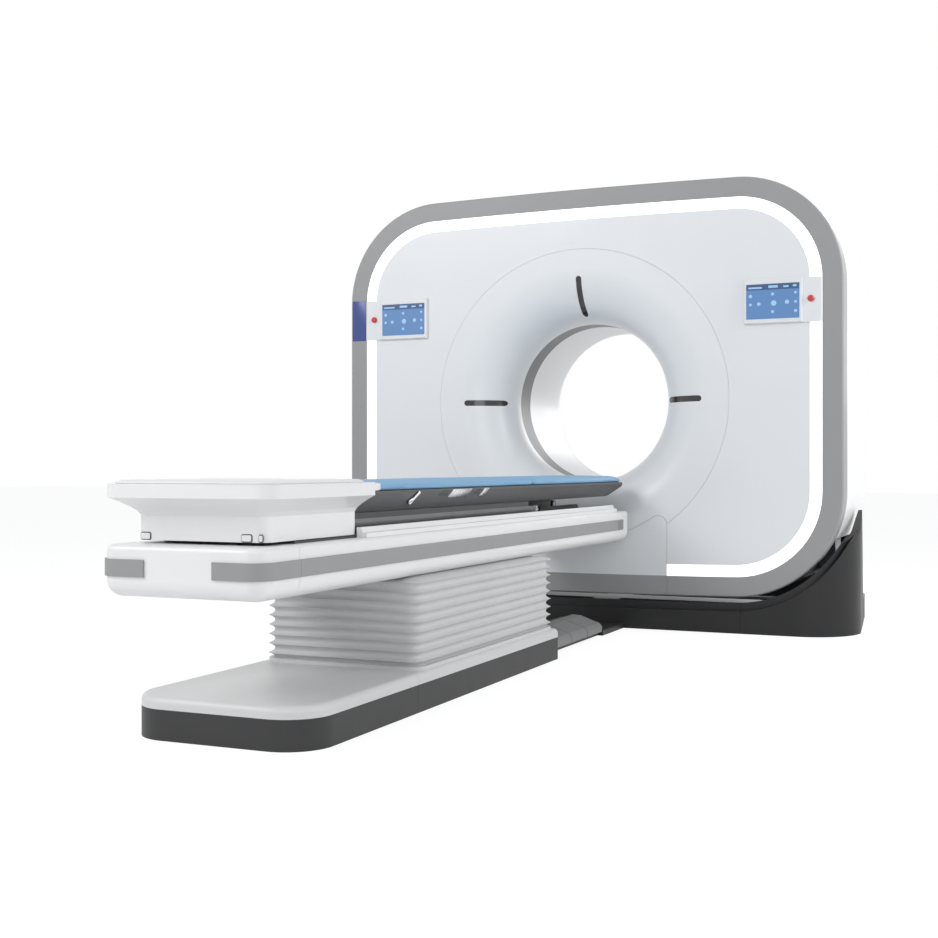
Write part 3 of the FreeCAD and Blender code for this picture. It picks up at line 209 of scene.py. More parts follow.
finishes = {
    "grey_bezel": moulded("bezel_grey_paint", (0.305, 0.305, 0.306), 0.40, shine=0.4),
    "front_white": moulded("front_cover_white", (0.745, 0.765, 0.785), 0.36, coat=0.15),
    "cover_white": moulded("side_cover_white", (0.86, 0.86, 0.86), 0.38, coat=0.1),
    # The white band is a white cover. Its glow is painted light that keeps it pure white where shade falls on
    # it.
    "light_band": glowing("white_band_painted_glow", (1.0, 1.0, 1.0), 0.85),
    "dark_window": moulded("laser_window_black", (0.012, 0.012, 0.014), 0.12, coat=0.5),
    "scan_ring": moulded("scan_window_grey", (0.17, 0.17, 0.175), 0.45),
    "screen": glowing("screen_glass", (0.055, 0.125, 0.26), 0.9),
    "button_red": moulded("stop_button_red", (0.60, 0.02, 0.02), 0.25, coat=0.4),
    "painted_steel": moulded("machine_paint", (0.22, 0.24, 0.27), 0.45),
    "bearing_steel": worked_metal("ground_bearing_steel", (0.60, 0.60, 0.61), 0.25, 1),
    "machined_aluminium": worked_metal("machined_aluminium", (0.70, 0.71, 0.72), 0.35, 0),
    "housing_grey": moulded("housing_paint", (0.50, 0.51, 0.52), 0.42),
    "slip_copper": worked_metal("turned_copper_tracks", (0.72, 0.46, 0.28), 0.3, 1),
    "base_dark": moulded("base_charcoal", (0.024, 0.024, 0.025), 0.45, shine=0.22),
    "plinth_dark": moulded("plinth_charcoal", (0.044, 0.044, 0.045), 0.48, shine=0.25),
    "base_grey": moulded("table_base_grey", (0.60, 0.60, 0.60), 0.40),
    "bellows_grey": moulded("bellows_coated_cloth", (0.57, 0.57, 0.57), 0.62, spread=0.02, depth=0.00008),
    "beam_white": moulded("beam_white", (0.77, 0.77, 0.77), 0.36, coat=0.1),
    "bumper_grey": moulded("bumper_strip_grey", (0.30, 0.30, 0.30), 0.58, spread=0.02, depth=0.00006,
                           shine=0.35),
    "deck_dark": moulded("deck_black", (0.03, 0.03, 0.032), 0.4),
    # The guide rails are steel, but their colour is darkened to the shade under the pallet shell: painted
    # shade.
    "rail_steel": worked_metal("guide_rail_steel_painted_shade", (0.20, 0.20, 0.205), 0.32, 1),
    "roller_white": moulded("roller_nylon", (0.80, 0.80, 0.78), 0.4),
    "pallet_dark": moulded("pallet_laminate", (0.088, 0.088, 0.090), 0.45, shine=0.35),
    "pad_blue": moulded("pad_cover_blue", (0.205, 0.395, 0.60), 0.58, spread=0.02, depth=0.00008, shine=0.35),
    "pedal_grey": moulded("pedal_rubber", (0.20, 0.20, 0.20), 0.6, spread=0.03, depth=0.00010),
}
for entry in frame["record"]["subparts"]:
    mesh = nodes[entry["node"]].data
    mesh.materials.clear()
    mesh.materials.append(finishes[entry["material_slot"]])
print(len(finishes), "finishes on", len(nodes), "nodes")

# %% [markdown]
# ## Tools for new pieces
#
# A new piece starts as a primitive at its real size and place, and is shaped in edit mode. Operators act
# on all that is selected, so each start clears the selection first. An extrusion leaves the new faces
# selected, so one pull follows another. Where single faces or corners matter, they are told apart by where
# they lie, which keeps working when a size changes.

# %% Helpers for pieces
MERGE_WITHIN = 0.00001
BEVEL_FROM = math.radians(40)


def only(piece=None):
    """Leaves edit mode, and selects that piece and nothing else."""
    if bpy.context.mode != "OBJECT":
        bpy.ops.object.mode_set(mode="OBJECT")
    bpy.ops.object.select_all(action="DESELECT")
    if piece:
        piece.select_set(True)
        bpy.context.view_layer.objects.active = piece


def new_plate(name, low, high, corner=0.0, steps=5):
    """A flat face between two points that share one coordinate, with its corners rounded.

    It is left in edit mode with its face selected."""
    only()
    flat = [i for i in range(3) if abs(high[i] - low[i]) < 1e-9][0]
    bpy.ops.mesh.primitive_plane_add(size=1)
    piece = bpy.context.object
    piece.name = name
    piece.rotation_euler = {0: (0, math.radians(90), 0), 1: (math.radians(90), 0, 0), 2: (0, 0, 0)}[flat]
    bpy.ops.object.transform_apply(location=False, rotation=True, scale=False)
    piece.scale = [max(b - a, 1.0 if i == flat else 0) for i, (a, b) in enumerate(zip(low, high))]
    piece.location = [(a + b) / 2 for a, b in zip(low, high)]
    bpy.ops.object.transform_apply(location=True, rotation=True, scale=True)
    bpy.ops.object.mode_set(mode="EDIT")
    bpy.ops.mesh.select_all(action="SELECT")
    if corner:
        bpy.ops.mesh.bevel(offset=corner, segments=steps, affect="VERTICES")
    return piece


def pull(shift):
    """Extrudes the selected faces by a shift."""
    bpy.ops.mesh.extrude_region_move(TRANSFORM_OT_translate={"value": shift})


def give(piece, *names):
    """Leaves edit mode and puts those finishes on the piece."""
    only(piece)
    for name in names:
        piece.data.materials.append(finishes[name])
    return piece


def joined(pieces, name):
    """Makes one piece of several."""
    only(pieces[0])
    for piece in pieces:
        piece.select_set(True)
    bpy.ops.object.join()
    whole = bpy.context.object
    whole.name = name
    return whole


def complete(piece, slot, body, edge=0.0, steps=3, crisp=35):
    """Mends the normals, rounds the edges, and gives the piece its finish, shading and body."""
    only(piece)
    bpy.ops.object.mode_set(mode="EDIT")
    bpy.ops.mesh.select_all(action="SELECT")
    bpy.ops.mesh.remove_doubles(threshold=MERGE_WITHIN)
    bpy.ops.mesh.normals_make_consistent(inside=False)
    bpy.ops.object.mode_set(mode="OBJECT")
    if edge:
        bevel = piece.modifiers.new("edges", "BEVEL")
        bevel.width = edge
        bevel.segments = steps
        bevel.limit_method = "ANGLE"
        bevel.angle_limit = BEVEL_FROM
        bpy.ops.object.modifier_apply(modifier=bevel.name)
    bpy.ops.object.transform_apply(location=True, rotation=True, scale=True)
    bpy.ops.object.shade_smooth_by_angle(angle=math.radians(crisp))
    if not piece.data.materials:
        piece.data.materials.append(finishes[slot])
    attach(piece, body)
    print(piece.name, len(piece.data.polygons), "faces, on", body)
    return piece


def other_side(piece, name, slot, body):
    """A copy on the other side of X 0, with its own mesh."""
    twin = piece.copy()
    twin.data = piece.data.copy()
    twin.name = name
    twin.parent = None
    bpy.context.scene.collection.objects.link(twin)
    twin.matrix_world = Matrix.Diagonal((-1, 1, 1, 1))
    return complete(twin, slot, body)


# %% [markdown]
# ## The lifting bellows
#
# The bellows is coated cloth folded like a concertina round the lifting columns. Its ridges are stiffened
# and sharp, and the cloth between them hangs in a hollow. It is drawn as a rounded rectangle, and the open
# ring is pulled up again and again, drawn in for a valley and let out for a ridge. A thickness turns it
# into cloth.

# %% Fold the bellows
low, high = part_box("lift_bellows")
FOLDS = 9
VALLEY = 0.014
CLOTH = 0.002
TOP_INSET = 0.064
# One fold, as shares of the pitch upwards and of the valley's depth inwards
FOLD_CURVE = ((0.18, 0.90), (0.34, 0.58), (0.5, 0.0), (0.66, 0.58), (0.82, 0.90), (1.0, 1.0))
# The last fold closes in under the beam instead: folds counted from the foot, and metres inwards
CLOSING = ((FOLDS - 0.36, 0.3 * VALLEY), (FOLDS - 0.18, 0.5 * TOP_INSET), (FOLDS - 0.02, TOP_INSET))
centre = (low + high) / 2
half = (high - low) / 2
pitch = (high.z - low.z) / FOLDS

bellows = new_plate("folded_bellows", (low.x + VALLEY, low.y + VALLEY, low.z),
                    (high.x - VALLEY, high.y - VALLEY, low.z), corner=0.038, steps=6)
bpy.ops.mesh.delete(type="ONLY_FACE")
bpy.ops.mesh.select_mode(type="EDGE")
bpy.ops.mesh.select_all(action="SELECT")
levels = [(fold + up, inward * VALLEY) for fold in range(FOLDS) for up, inward in FOLD_CURVE]
levels[-len(CLOSING):] = CLOSING
height, drawn = low.z, VALLEY
for up, inset in levels:
    z = low.z + up * pitch
    bpy.ops.mesh.extrude_edges_move(TRANSFORM_OT_translate={"value": (0, 0, z - height)})
    ratio = [(half[i] - inset) / (half[i] - drawn) for i in (0, 1)]
    bpy.ops.transform.resize(value=(*ratio, 1), center_override=(centre.x, centre.y, z))
    height, drawn = z, inset
only(bellows)
bpy.ops.object.mode_set(mode="EDIT")
bpy.ops.mesh.select_all(action="SELECT")
bpy.ops.mesh.normals_make_consistent(inside=False)
bpy.ops.object.mode_set(mode="OBJECT")
wall = bellows.modifiers.new("cloth", "SOLIDIFY")
wall.thickness = CLOTH
wall.offset = -1
bpy.ops.object.modifier_apply(modifier=wall.name)
bpy.ops.object.shade_smooth_by_angle(angle=math.radians(38))
bellows.data.materials.append(finishes["bellows_grey"])
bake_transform(bellows)
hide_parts("lift_bellows")
print("bellows:", len(bellows.data.polygons), "faces, pitch", round(pitch * 1000, 1), "mm")

# %% [markdown]
# ## The two pads
#
# The patient lies on foam in coated blue cloth. A block of foam looks wrong because real cloth is pulled
# tight over it: the top swells, the sides belly a little and the corners stay drawn in. So each pad starts
# as a slimmer copy of its solid, gets an even net of faces, and is blown up like a cushion in a short cloth
# simulation. The underside rests on the pallet and is held. No point may move further than a few
# millimetres.

# %% Blow up the pads
VOXEL = 0.008
PRESSURE = 4.0
FRAMES = 20
REACH = 0.0045
SLIM = 0.003
HELD_BELOW = 0.003


def blown_pad(name, node):
    """A soft pad made from a copy of that node's solid, which it replaces."""
    pad = nodes[node].copy()
    pad.data = nodes[node].data.copy()
    pad.name = name
    pad.parent = None
    pad.matrix_world = Matrix()
    for key in list(pad.keys()):
        del pad[key]
    bpy.context.scene.collection.objects.link(pad)
    only(pad)
    bpy.ops.object.mode_set(mode="EDIT")
    bpy.ops.mesh.select_all(action="SELECT")
    bpy.ops.mesh.remove_doubles(threshold=0.0001)
    bpy.ops.object.mode_set(mode="OBJECT")
    pad_low, pad_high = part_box(node)
    size = pad_high - pad_low
    middle = (pad_low + pad_high) / 2
    fit = [(size.x - 2 * SLIM) / size.x, (size.y - 2 * SLIM) / size.y, (size.z - SLIM) / size.z]
    for v in pad.data.vertices:
        v.co = [middle.x + (v.co.x - middle.x) * fit[0], middle.y + (v.co.y - middle.y) * fit[1],
                pad_low.z + (v.co.z - pad_low.z) * fit[2]]
    net = pad.modifiers.new("net", "REMESH")
    net.mode = "VOXEL"
    net.voxel_size = VOXEL
    bpy.ops.object.modifier_apply(modifier=net.name)
    held = pad.vertex_groups.new(name="underside")
    held.add([v.index for v in pad.data.vertices if v.co.z < pad_low.z + HELD_BELOW], 1.0, "REPLACE")
    start = [v.co.copy() for v in pad.data.vertices]
    blow = pad.modifiers.new("blow", "CLOTH")
    blow.settings.use_pressure = True
    blow.settings.uniform_pressure_force = PRESSURE
    blow.settings.effector_weights.gravity = 0.0
    blow.settings.vertex_group_mass = "underside"
    for step in range(1, FRAMES + 1):
        bpy.context.scene.frame_set(step)
    soft = pad.evaluated_get(bpy.context.evaluated_depsgraph_get()).data
    moved = [v.co.copy() for v in soft.vertices]
    bpy.context.scene.frame_set(1)
    pad.modifiers.remove(blow)
    for v, a, b in zip(pad.data.vertices, start, moved):
        way = b - a
        v.co = a + way * min(1, REACH / max(way.length, 1e-9))
        v.co.z = max(v.co.z, pad_low.z)
    smoother = pad.modifiers.new("relax", "SMOOTH")
    smoother.factor = 0.5
    smoother.iterations = 1
    bpy.ops.object.modifier_apply(modifier=smoother.name)
    finer = pad.modifiers.new("finer", "SUBSURF")
    finer.levels = finer.render_levels = 1
    bpy.ops.object.modifier_apply(modifier=finer.name)
    bpy.ops.object.shade_smooth()
    pad.data.materials.clear()
    pad.data.materials.append(finishes["pad_blue"])
    pad.vertex_groups.clear()
    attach(pad, "pallet")
    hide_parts(node)
    tops = max(v.co.z for v in pad.data.vertices)
    print(name, len(pad.data.polygons), "faces, top at", round(tops, 4), "m")
    return pad


blown_pad("body_pad", "pallet_pad")
blown_pad("head_end_pad", "head_pad")

# %% [markdown]
# ## What the screens show
#
# Each operator panel has a lit touch screen: a darker bar along the top with pale fields, and a cross of
# round keys with more keys down both sides. The marks are generic, thin raised shapes a fraction of a
# millimetre above the glass, so they stay sharp at any distance, where a painted texture would blur.

# %% Draw the screens' marks
screen_low, screen_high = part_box("touch_screens")
SCREEN_W = 0.220
SCREEN_FACE = screen_low.y
MARK_T = 0.0004
KEY_TAPER = 0.9
finishes["screen_bar"] = glowing("screen_top_bar", (0.03, 0.07, 0.16), 0.35)
finishes["screen_mark"] = glowing("screen_pale_mark", (0.22, 0.36, 0.55), 0.6)
# Left, right, lower and upper edges, as shares of the screen
BAR = (0.0, 1.0, 0.83, 1.0)
FIELDS = ((0.04, 0.30, 0.872, 0.918), (0.42, 0.60, 0.88, 0.95), (0.70, 0.80, 0.88, 0.93),
          (0.88, 0.95, 0.89, 0.95))
# Middles as shares of the screen, and radii as shares of its width
KEYS = ((0.50, 0.70, 0.030), (0.50, 0.20, 0.030), (0.24, 0.43, 0.034), (0.77, 0.46, 0.040),
        (0.52, 0.44, 0.052), (0.08, 0.66, 0.034), (0.08, 0.42, 0.028), (0.93, 0.72, 0.026),
        (0.93, 0.46, 0.026), (0.93, 0.20, 0.030))


def screen_marks(side, left_edge):
    """One screen's bar, fields and keys, as one piece."""
    tall = screen_high.z - screen_low.z

    def spot(u, v):
        return left_edge + u * SCREEN_W, screen_low.z + v * tall

    def raised(name, edges, face, rise, finish, corner=0.0):
        (x0, z0), (x1, z1) = spot(edges[0], edges[2]), spot(edges[1], edges[3])
        mark = new_plate(name, (x0, face, z0), (x1, face, z1), corner=corner)
        pull((0, -rise, 0))
        return give(mark, finish)

    made = [raised("bar", BAR, SCREEN_FACE, MARK_T, "screen_bar")]
    for edges in FIELDS:
        made.append(raised("field", edges, SCREEN_FACE - MARK_T, MARK_T / 2, "screen_mark", corner=0.002))
    for u, v, r in KEYS:
        x, z = spot(u, v)
        only()
        bpy.ops.mesh.primitive_circle_add(vertices=20, radius=r * SCREEN_W, fill_type="NGON",
                                          location=(x, SCREEN_FACE, z), rotation=(math.radians(90), 0, 0))
        key = bpy.context.object
        bpy.ops.object.mode_set(mode="EDIT")
        bpy.ops.mesh.select_all(action="SELECT")
        pull((0, -MARK_T, 0))
        bpy.ops.transform.resize(value=(KEY_TAPER, 1, KEY_TAPER), center_override=(x, SCREEN_FACE, z))
        made.append(give(key, "screen_mark"))
    return complete(joined(made, "screen_marks_" + side), "screen", "gantry", crisp=30)


screen_marks("right", screen_high.x - SCREEN_W)
screen_marks("left", screen_low.x)

# %% [markdown]
# ## A plate on the grey ring
#
# On the left of the grey ring sits a dark blue plate. It stays blank here. A thin plate catches the light
# on its rounded rim, so it is pulled out of a flat face and its edge is bevelled.

# %% The blank plate
PLATE_X = (-1.1405, -1.068)
PLATE_Z = (1.302, 1.493)
PLATE_T = 0.0018
finishes["plate_blue"] = moulded("ring_plate_blue", (0.035, 0.065, 0.25), 0.35, coat=0.2)
ring_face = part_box("bezel_ring")[0].y
plate = new_plate("ring_plate", (PLATE_X[0], ring_face, PLATE_Z[0]),
                  (PLATE_X[1], ring_face, PLATE_Z[1]), corner=0.003)
pull((0, -PLATE_T, 0))
complete(give(plate, "plate_blue"), "screen", "gantry", edge=0.0006, steps=2)

# %% [markdown]
# ## The foot console
#
# The box at the foot end has a low padded crown on top, two small rounded caps where its rim ends beside
# the pad, and three clips low on its end face, each with a dark rim round it. Rounded boxes would come
# close, but the crown and the caps taper. So each starts as a flat face, is pulled out in steps with the
# last one drawn in, and gets its edges bevelled. A clip's face is inset before its last pull, which leaves
# the rim.

# %% Crown, rim caps and clips
CROWN_HALF_W = 0.240
box_low, box_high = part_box("foot_box")
crown = new_plate("console_crown", (-CROWN_HALF_W, box_low.y + 0.018, box_high.z),
                  (CROWN_HALF_W, box_high.y - 0.006, box_high.z), corner=0.036, steps=8)
for rise in (0.004, 0.005):
    pull((0, 0, rise))
bpy.ops.transform.resize(value=(0.95, 0.94, 1), center_override=(0, (box_low.y + box_high.y) / 2, 0))
complete(crown, "beam_white", "pallet", edge=0.002, steps=3, crisp=60)

CAP_X, CAP_Z = (0.2245, 0.2485), (0.6370, 0.6590)
CAP_FOOT = -2.690
CAP_MIDDLE = (0.232, 0, 0.648)
cap = new_plate("rim_cap_right", (CAP_X[0], CAP_FOOT, CAP_Z[0]), (CAP_X[1], CAP_FOOT, CAP_Z[1]), corner=0.006)
for stretch in (0.030, 0.026):
    pull((0, stretch, 0))
bpy.ops.transform.resize(value=(0.8, 1, 0.9), center_override=CAP_MIDDLE)
complete(cap, "beam_white", "pallet", edge=0.004, steps=4, crisp=60)
other_side(cap, "rim_cap_left", "beam_white", "pallet")

BOX_FOOT = -3.132
CLIP_Z = (0.5185, 0.5385)
CLIP_X = ((-0.179, -0.147), (0.122, 0.154), (0.172, 0.186))
RIM_T = 0.0012
CLIP_T = 0.0022
WHITE_BEYOND = BOX_FOOT - 0.0013
for number, (x0, x1) in enumerate(CLIP_X, 1):
    clip = new_plate("console_clip_%d" % number, (x0, BOX_FOOT, CLIP_Z[0]), (x1, BOX_FOOT, CLIP_Z[1]),
                     corner=0.005)
    pull((0, -RIM_T, 0))
    bpy.ops.mesh.inset(thickness=0.0024, depth=0)
    pull((0, -CLIP_T, 0))
    give(clip, "deck_dark", "beam_white")
    for face in clip.data.polygons:
        face.material_index = 1 if face.center.y < WHITE_BEYOND else 0
    complete(clip, "beam_white", "pallet")

# %% [markdown]
# ## Strap fittings on the pallet
#
# Straps hold the patient, and their steel fittings hang over the pallet's sloping side: a hook with a
# ring, and a wide plate and a narrow strip with a dark pocket beside each. Each pocket is a thin dark plate
# whose colour is painted shade for the pocket's hollow. A turned box would follow the slope, but its ends
# couldn't lean as these do, so each plate starts as a flat face in the slope's own plane. The hook is a
# short round bar joined to a ring at its lower end. Every fitting is then copied to the other side.

# %% Fittings on both sides
SIDE_TOP = Vector((0.2232, 0, 0.6300))
SIDE_LOW = Vector((0.1790, 0, 0.5765))
UPPER_EDGE_AHEAD = 0.006
down_slope = (SIDE_LOW - SIDE_TOP).normalized()
off_slope = Vector((-down_slope.z, 0, down_slope.x))
finishes["fitting_steel"] = worked_metal("fitting_steel", (0.72, 0.72, 0.73), 0.28, 1)


def slope_plate(name, y0, y1, reach0, reach1, thick, slot, finish):
    """A plate on the sloping side, between two Y values and two distances down the slope."""
    only()
    bpy.ops.mesh.primitive_plane_add(size=1)
    piece = bpy.context.object
    piece.name = name
    a, b = SIDE_TOP + down_slope * reach0, SIDE_TOP + down_slope * reach1
    ends = ((a, y0 + UPPER_EDGE_AHEAD), (a, y1 + UPPER_EDGE_AHEAD), (b, y1), (b, y0))
    for v, (p, y) in zip((piece.data.vertices[i] for i in (0, 1, 3, 2)), ends):
        v.co = (p.x, y, p.z)
    bpy.ops.object.mode_set(mode="EDIT")
    bpy.ops.mesh.select_all(action="SELECT")
    bpy.ops.mesh.bevel(offset=0.0025, segments=3, affect="VERTICES")
    pull(off_slope * thick)
    return complete(give(piece, finish), slot, "pallet", edge=min(0.0006, thick / 3), steps=2)


for name, y0, y1 in (("strap_plate", -2.115, -1.972), ("strap_strip", -1.868, -1.830)):
    fitting = slope_plate(name + "_right", y0, y1, reach0=-0.004, reach1=0.028, thick=0.003,
                          slot="rail_steel", finish="fitting_steel")
    other_side(fitting, name + "_left", "rail_steel", "pallet")
# Each pocket is a thin dark plate on the slope: its colour is painted shade for the pocket's hollow.
for name, y0, y1 in (("strap_pocket_shade_plate", -2.190, -2.122), ("strap_pocket_shade_strip", -1.925, -1.874)):
    pocket_shade = slope_plate(name + "_right", y0, y1, reach0=0.000, reach1=0.020, thick=0.0008,
                         slot="deck_dark", finish="deck_dark")
    other_side(pocket_shade, name + "_left", "deck_dark", "pallet")

# %% The hook and its ring
HOOK_Y = -2.361
HOOK_LEAN = -0.35
HOOK_OFF = 0.005
BAR_DOWN = 0.014
RING_DOWN = 0.034
RING_BACK = 0.010
UPRIGHT = Vector((0, 0, 1))
hook_top = SIDE_TOP + off_slope * HOOK_OFF
hook_end = hook_top + down_slope * RING_DOWN
only()
bpy.ops.mesh.primitive_cylinder_add(vertices=16, radius=0.0042, depth=0.036,
                                    location=(hook_top + down_slope * BAR_DOWN) + Vector((0, HOOK_Y, 0)))
hook = bpy.context.object
hook.name = "strap_hook_right"
hook.rotation_euler = UPRIGHT.rotation_difference(down_slope + Vector((0, HOOK_LEAN, 0))).to_euler()
bpy.ops.object.transform_apply(location=True, rotation=True, scale=True)
bpy.ops.mesh.primitive_torus_add(major_radius=0.0085, minor_radius=0.0034, major_segments=28,
                                 minor_segments=10, location=hook_end + Vector((0, HOOK_Y - RING_BACK, 0)),
                                 rotation=UPRIGHT.rotation_difference(off_slope).to_euler())
hook.select_set(True)
bpy.context.view_layer.objects.active = hook
bpy.ops.object.join()
hook.data.materials.append(finishes["fitting_steel"])
complete(hook, "rail_steel", "pallet", crisp=60)
other_side(hook, "strap_hook_left", "rail_steel", "pallet")

# %% [markdown]
# ## Painted shade behind the gantry base
#
# In the photograph nothing light shows between the ring and the cradle of the base. Two low dark sheets on
# the rear wall of the base close that view with painted shade. They stand just outside the circle that the
# gantry swings through.
# A bevel rounds all the corners of a flat face, so the lower ones are pressed flat again before the face
# gets its thickness.

# %% The painted shade sheets
SHADE_SHEET_X = (0.700, 1.085)
SHADE_SHEET_LOW, SHADE_SHEET_TOP = 0.110, 0.262
SHADE_SHEET_T = 0.014
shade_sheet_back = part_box("gantry_base_side_covers")[1].y - 0.002
# Painted shade: these dark sheets stand where there is only shade behind the ring, and are no part of the
# base.
shade_sheet = new_plate("painted_shade_sheet_right", (SHADE_SHEET_X[0], shade_sheet_back, SHADE_SHEET_LOW), (SHADE_SHEET_X[1], shade_sheet_back, SHADE_SHEET_TOP),
                 corner=0.030, steps=6)
for v in bmesh.from_edit_mesh(shade_sheet.data).verts:
    if v.co.z < (SHADE_SHEET_LOW + SHADE_SHEET_TOP) / 2:
        v.co.z = SHADE_SHEET_LOW
pull((0, -SHADE_SHEET_T, 0))
complete(shade_sheet, "base_dark", "root", edge=0.003, steps=3)
other_side(shade_sheet, "painted_shade_sheet_left", "base_dark", "root")

# %% [markdown]
# ## Stops at the ends of the rails
#
# The guide rails end in bright steel blocks that keep the pallet from running off. A small block needs no
# more than a flat face, a pull and a bevel. The second one is copied, because the rails are a pair.

# %% Rail stops
STOP_X = (0.137, 0.171)
STOP_T = 0.012
rail_low, rail_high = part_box("guide_rails")
stop_foot = rail_high.y + 0.001
stop = new_plate("rail_stop_right", (STOP_X[0], stop_foot, rail_low.z + 0.002),
                 (STOP_X[1], stop_foot, rail_high.z + 0.001), corner=0.003)
pull((0, STOP_T, 0))
complete(give(stop, "fitting_steel"), "rail_steel", "table", edge=0.0012)
other_side(stop, "rail_stop_left", "rail_steel", "table")

# %% [markdown]
# ## Ribs on the bumper strip
#
# The soft strip along the beam ends at the tip in a short ribbed stretch, on both sides. Ribs drawn as a
# bump in the material would stay flat against the light at the beam's edge, so these are real. Each is a
# flat face on the strip, pulled out with its outer face drawn in, and the ribs of one side are joined.

# %% Ribs at the end of the bumper strip
RIBS = 9
RIB_PITCH = 0.008
RIB_HALF_W = 0.002
RIB_RISE = 0.0022
strip_low, strip_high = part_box("bumper_strips")
strip_middle = (strip_low.z + strip_high.z) / 2
for side, word in ((1, "right"), (-1, "left")):
    face = strip_high.x * side
    ribs = []
    for i in range(RIBS):
        y = strip_high.y - 0.004 - i * RIB_PITCH
        ribs.append(new_plate("rib", (face, y - RIB_HALF_W, strip_low.z + 0.001),
                              (face, y + RIB_HALF_W, strip_high.z - 0.001)))
        pull((RIB_RISE * side, 0, 0))
        bpy.ops.transform.resize(value=(1, 0.6, 0.96), center_override=(face, y, strip_middle))
    complete(joined(ribs, "bumper_ribs_" + word), "bumper_grey", "table", edge=0.0005, steps=2)

# %% [markdown]
# ## Slots in the pedals
#
# Each pedal has two small slots in its tread. The tread belongs to the construction model, whose meshes
# are never cut, so each slot is a thin dark plate with rounded corners, whose dark colour is painted shade
# for the slot's hollow. Its corners are moved onto the tread's slope before it gets its thickness.

# %% Slots in the pedals
SLOT_X = (0.134, 0.146)
SLOT_HALF_L = 0.014
SLOT_T = 0.0008
TREAD_EDGE_X, TREAD_EDGE_Z = 0.132, 0.0793
TREAD_FALL = 28 / 79
ABOVE_TREAD = 0.0004
# The dark colour of each slot plate is painted shade for the slot's hollow.
for number in (1, 2, 3):
    tread_low, tread_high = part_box("foot_pedal_%d" % number)
    cuts = []
    for share in (0.30, 0.72):
        y = tread_low.y + share * (tread_high.y - tread_low.y)
        cuts.append(new_plate("slot", (SLOT_X[0], y - SLOT_HALF_L, TREAD_EDGE_Z),
                              (SLOT_X[1], y + SLOT_HALF_L, TREAD_EDGE_Z), corner=0.005))
        for v in bmesh.from_edit_mesh(cuts[-1].data).verts:
            v.co.z = TREAD_EDGE_Z - (v.co.x - TREAD_EDGE_X) * TREAD_FALL + ABOVE_TREAD
        pull((0, 0, SLOT_T))
    complete(joined(cuts, "pedal_slots_%d" % number), "deck_dark", "pedal_%d" % number)

# %% [markdown]
# ## Floor and light
#
# The product stands in a white studio. The world looks pure white to the camera and in reflections, but
# lights the object at a lower strength, so pale covers keep their shape. The floor mixes a white glow with
# a diffuse surface: away from the object it melts into the background, and under it the shadow stays.

# %% White studio
WORLD_TINT = (0.94, 0.97, 1.0, 1)
WORLD_LIGHT = 0.45
FLOOR_GLOW = 0.72
FLOOR_WHITE = 1.16
FLOOR_SIDE = 60


def seen_directly(tree):
    """1 for camera, glossy and transmission rays."""
    ray = tree.nodes.new("ShaderNodeLightPath")
    pair = tree.nodes.new("ShaderNodeMath")
    pair.operation = "MAXIMUM"
    whole = tree.nodes.new("ShaderNodeMath")
    whole.operation = "MAXIMUM"
    tree.links.new(ray.outputs["Is Camera Ray"], pair.inputs[0])
    tree.links.new(ray.outputs["Is Glossy Ray"], pair.inputs[1])
    tree.links.new(pair.outputs["Value"], whole.inputs[0])
    tree.links.new(ray.outputs["Is Transmission Ray"], whole.inputs[1])
    return whole.outputs["Value"]


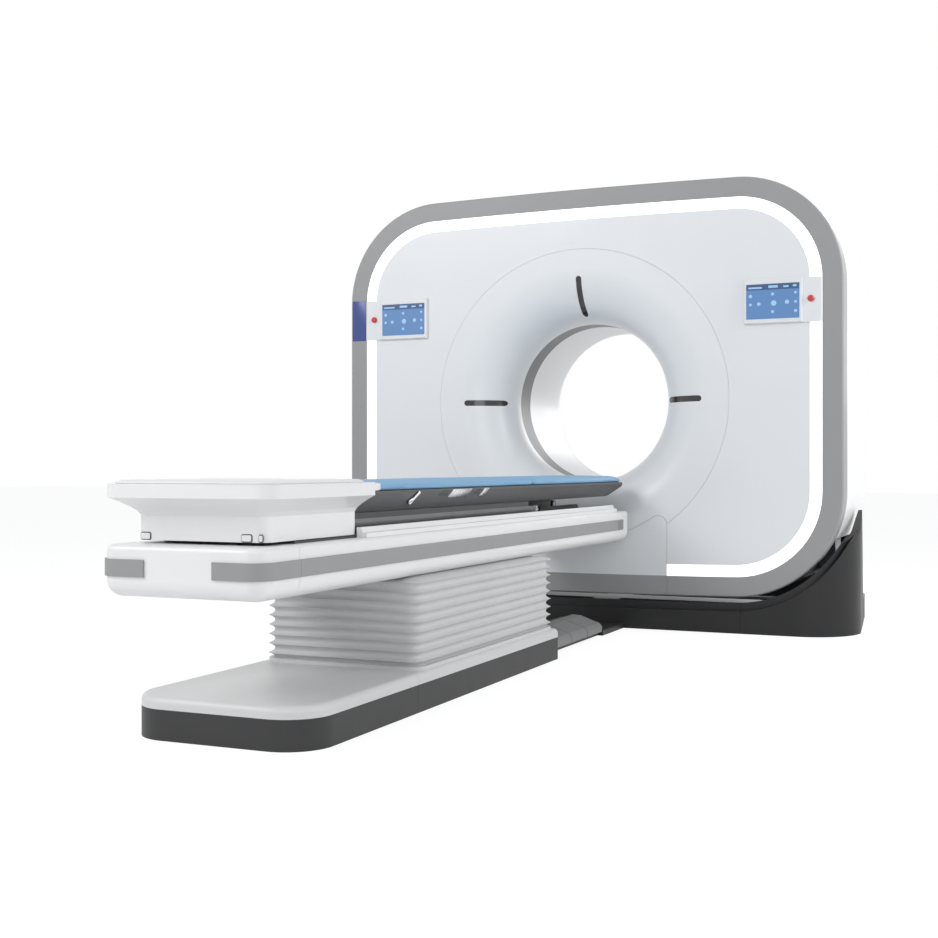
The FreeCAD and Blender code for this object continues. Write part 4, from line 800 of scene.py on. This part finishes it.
world = bpy.data.worlds.new("studio")
bpy.context.scene.world = world
world.use_nodes = True
tree = world.node_tree
lighting = tree.nodes["Background"]
lighting.inputs["Color"].default_value = WORLD_TINT
lighting.inputs["Strength"].default_value = WORLD_LIGHT
backdrop = tree.nodes.new("ShaderNodeBackground")
backdrop.inputs["Strength"].default_value = 1.0
backdrop.inputs["Color"].default_value = (1, 1, 1, 1)
chosen = tree.nodes.new("ShaderNodeMixShader")
tree.links.new(seen_directly(tree), chosen.inputs["Fac"])
tree.links.new(lighting.outputs["Background"], chosen.inputs[1])
tree.links.new(backdrop.outputs["Background"], chosen.inputs[2])
tree.links.new(chosen.outputs["Shader"], tree.nodes["World Output"].inputs["Surface"])

only()
bpy.ops.mesh.primitive_plane_add(size=FLOOR_SIDE, location=(0, 0, 0))
floor = bpy.context.object
floor.name = "studio_floor"
paint, shader = new_finish("studio_floor_white", (0.92, 0.92, 0.92), 0.9)
tree = paint.node_tree
glow = tree.nodes.new("ShaderNodeEmission")
glow.inputs["Strength"].default_value = FLOOR_WHITE
mixed = tree.nodes.new("ShaderNodeMixShader")
share = tree.nodes.new("ShaderNodeMath")
share.operation = "MULTIPLY"
share.inputs[1].default_value = FLOOR_GLOW
tree.links.new(seen_directly(tree), share.inputs[0])
tree.links.new(share.outputs["Value"], mixed.inputs["Fac"])
tree.links.new(shader.outputs["BSDF"], mixed.inputs[1])
tree.links.new(glow.outputs["Emission"], mixed.inputs[2])
tree.links.new(mixed.outputs["Shader"], tree.nodes["Material Output"].inputs["Surface"])
floor.data.materials.append(paint)
print("floor", FLOOR_SIDE, "m square")

# %% [markdown]
# ## The lamps
#
# Studio lamps are large and soft, so that their edges don't show in the covers. The key stands high on the
# left, a wide fill lifts the front, a third lights the gantry's right side, and a small one behind the
# gantry keeps the bore bright. Each is aimed at a point of its own, so that it can be judged and moved
# alone.

# %% Lamps
LAMPS = {
    "key": ((-3.6, -6.5, 4.6), (0.0, -1.0, 0.8), 3.2, 215),
    "front_fill": ((3.5, -8.0, 2.6), (0.0, -1.0, 0.9), 4.0, 92),
    "right_side": ((5.5, -0.5, 3.0), (0.8, 0.0, 1.0), 3.0, 150),
    "behind_bore": ((0.7, 3.3, 1.9), (-0.2, 0.1, 1.0), 1.6, 32),
}
for name, (place, target, size, watts) in LAMPS.items():
    lamp = bpy.data.lights.new(name, "AREA")
    lamp.size = size
    lamp.energy = watts
    holder = bpy.data.objects.new(name, lamp)
    holder.location = place
    holder.rotation_euler = (Vector(target) - Vector(place)).to_track_quat("-Z", "Y").to_euler()
    bpy.context.scene.collection.objects.link(holder)
print(len(LAMPS), "lamps")
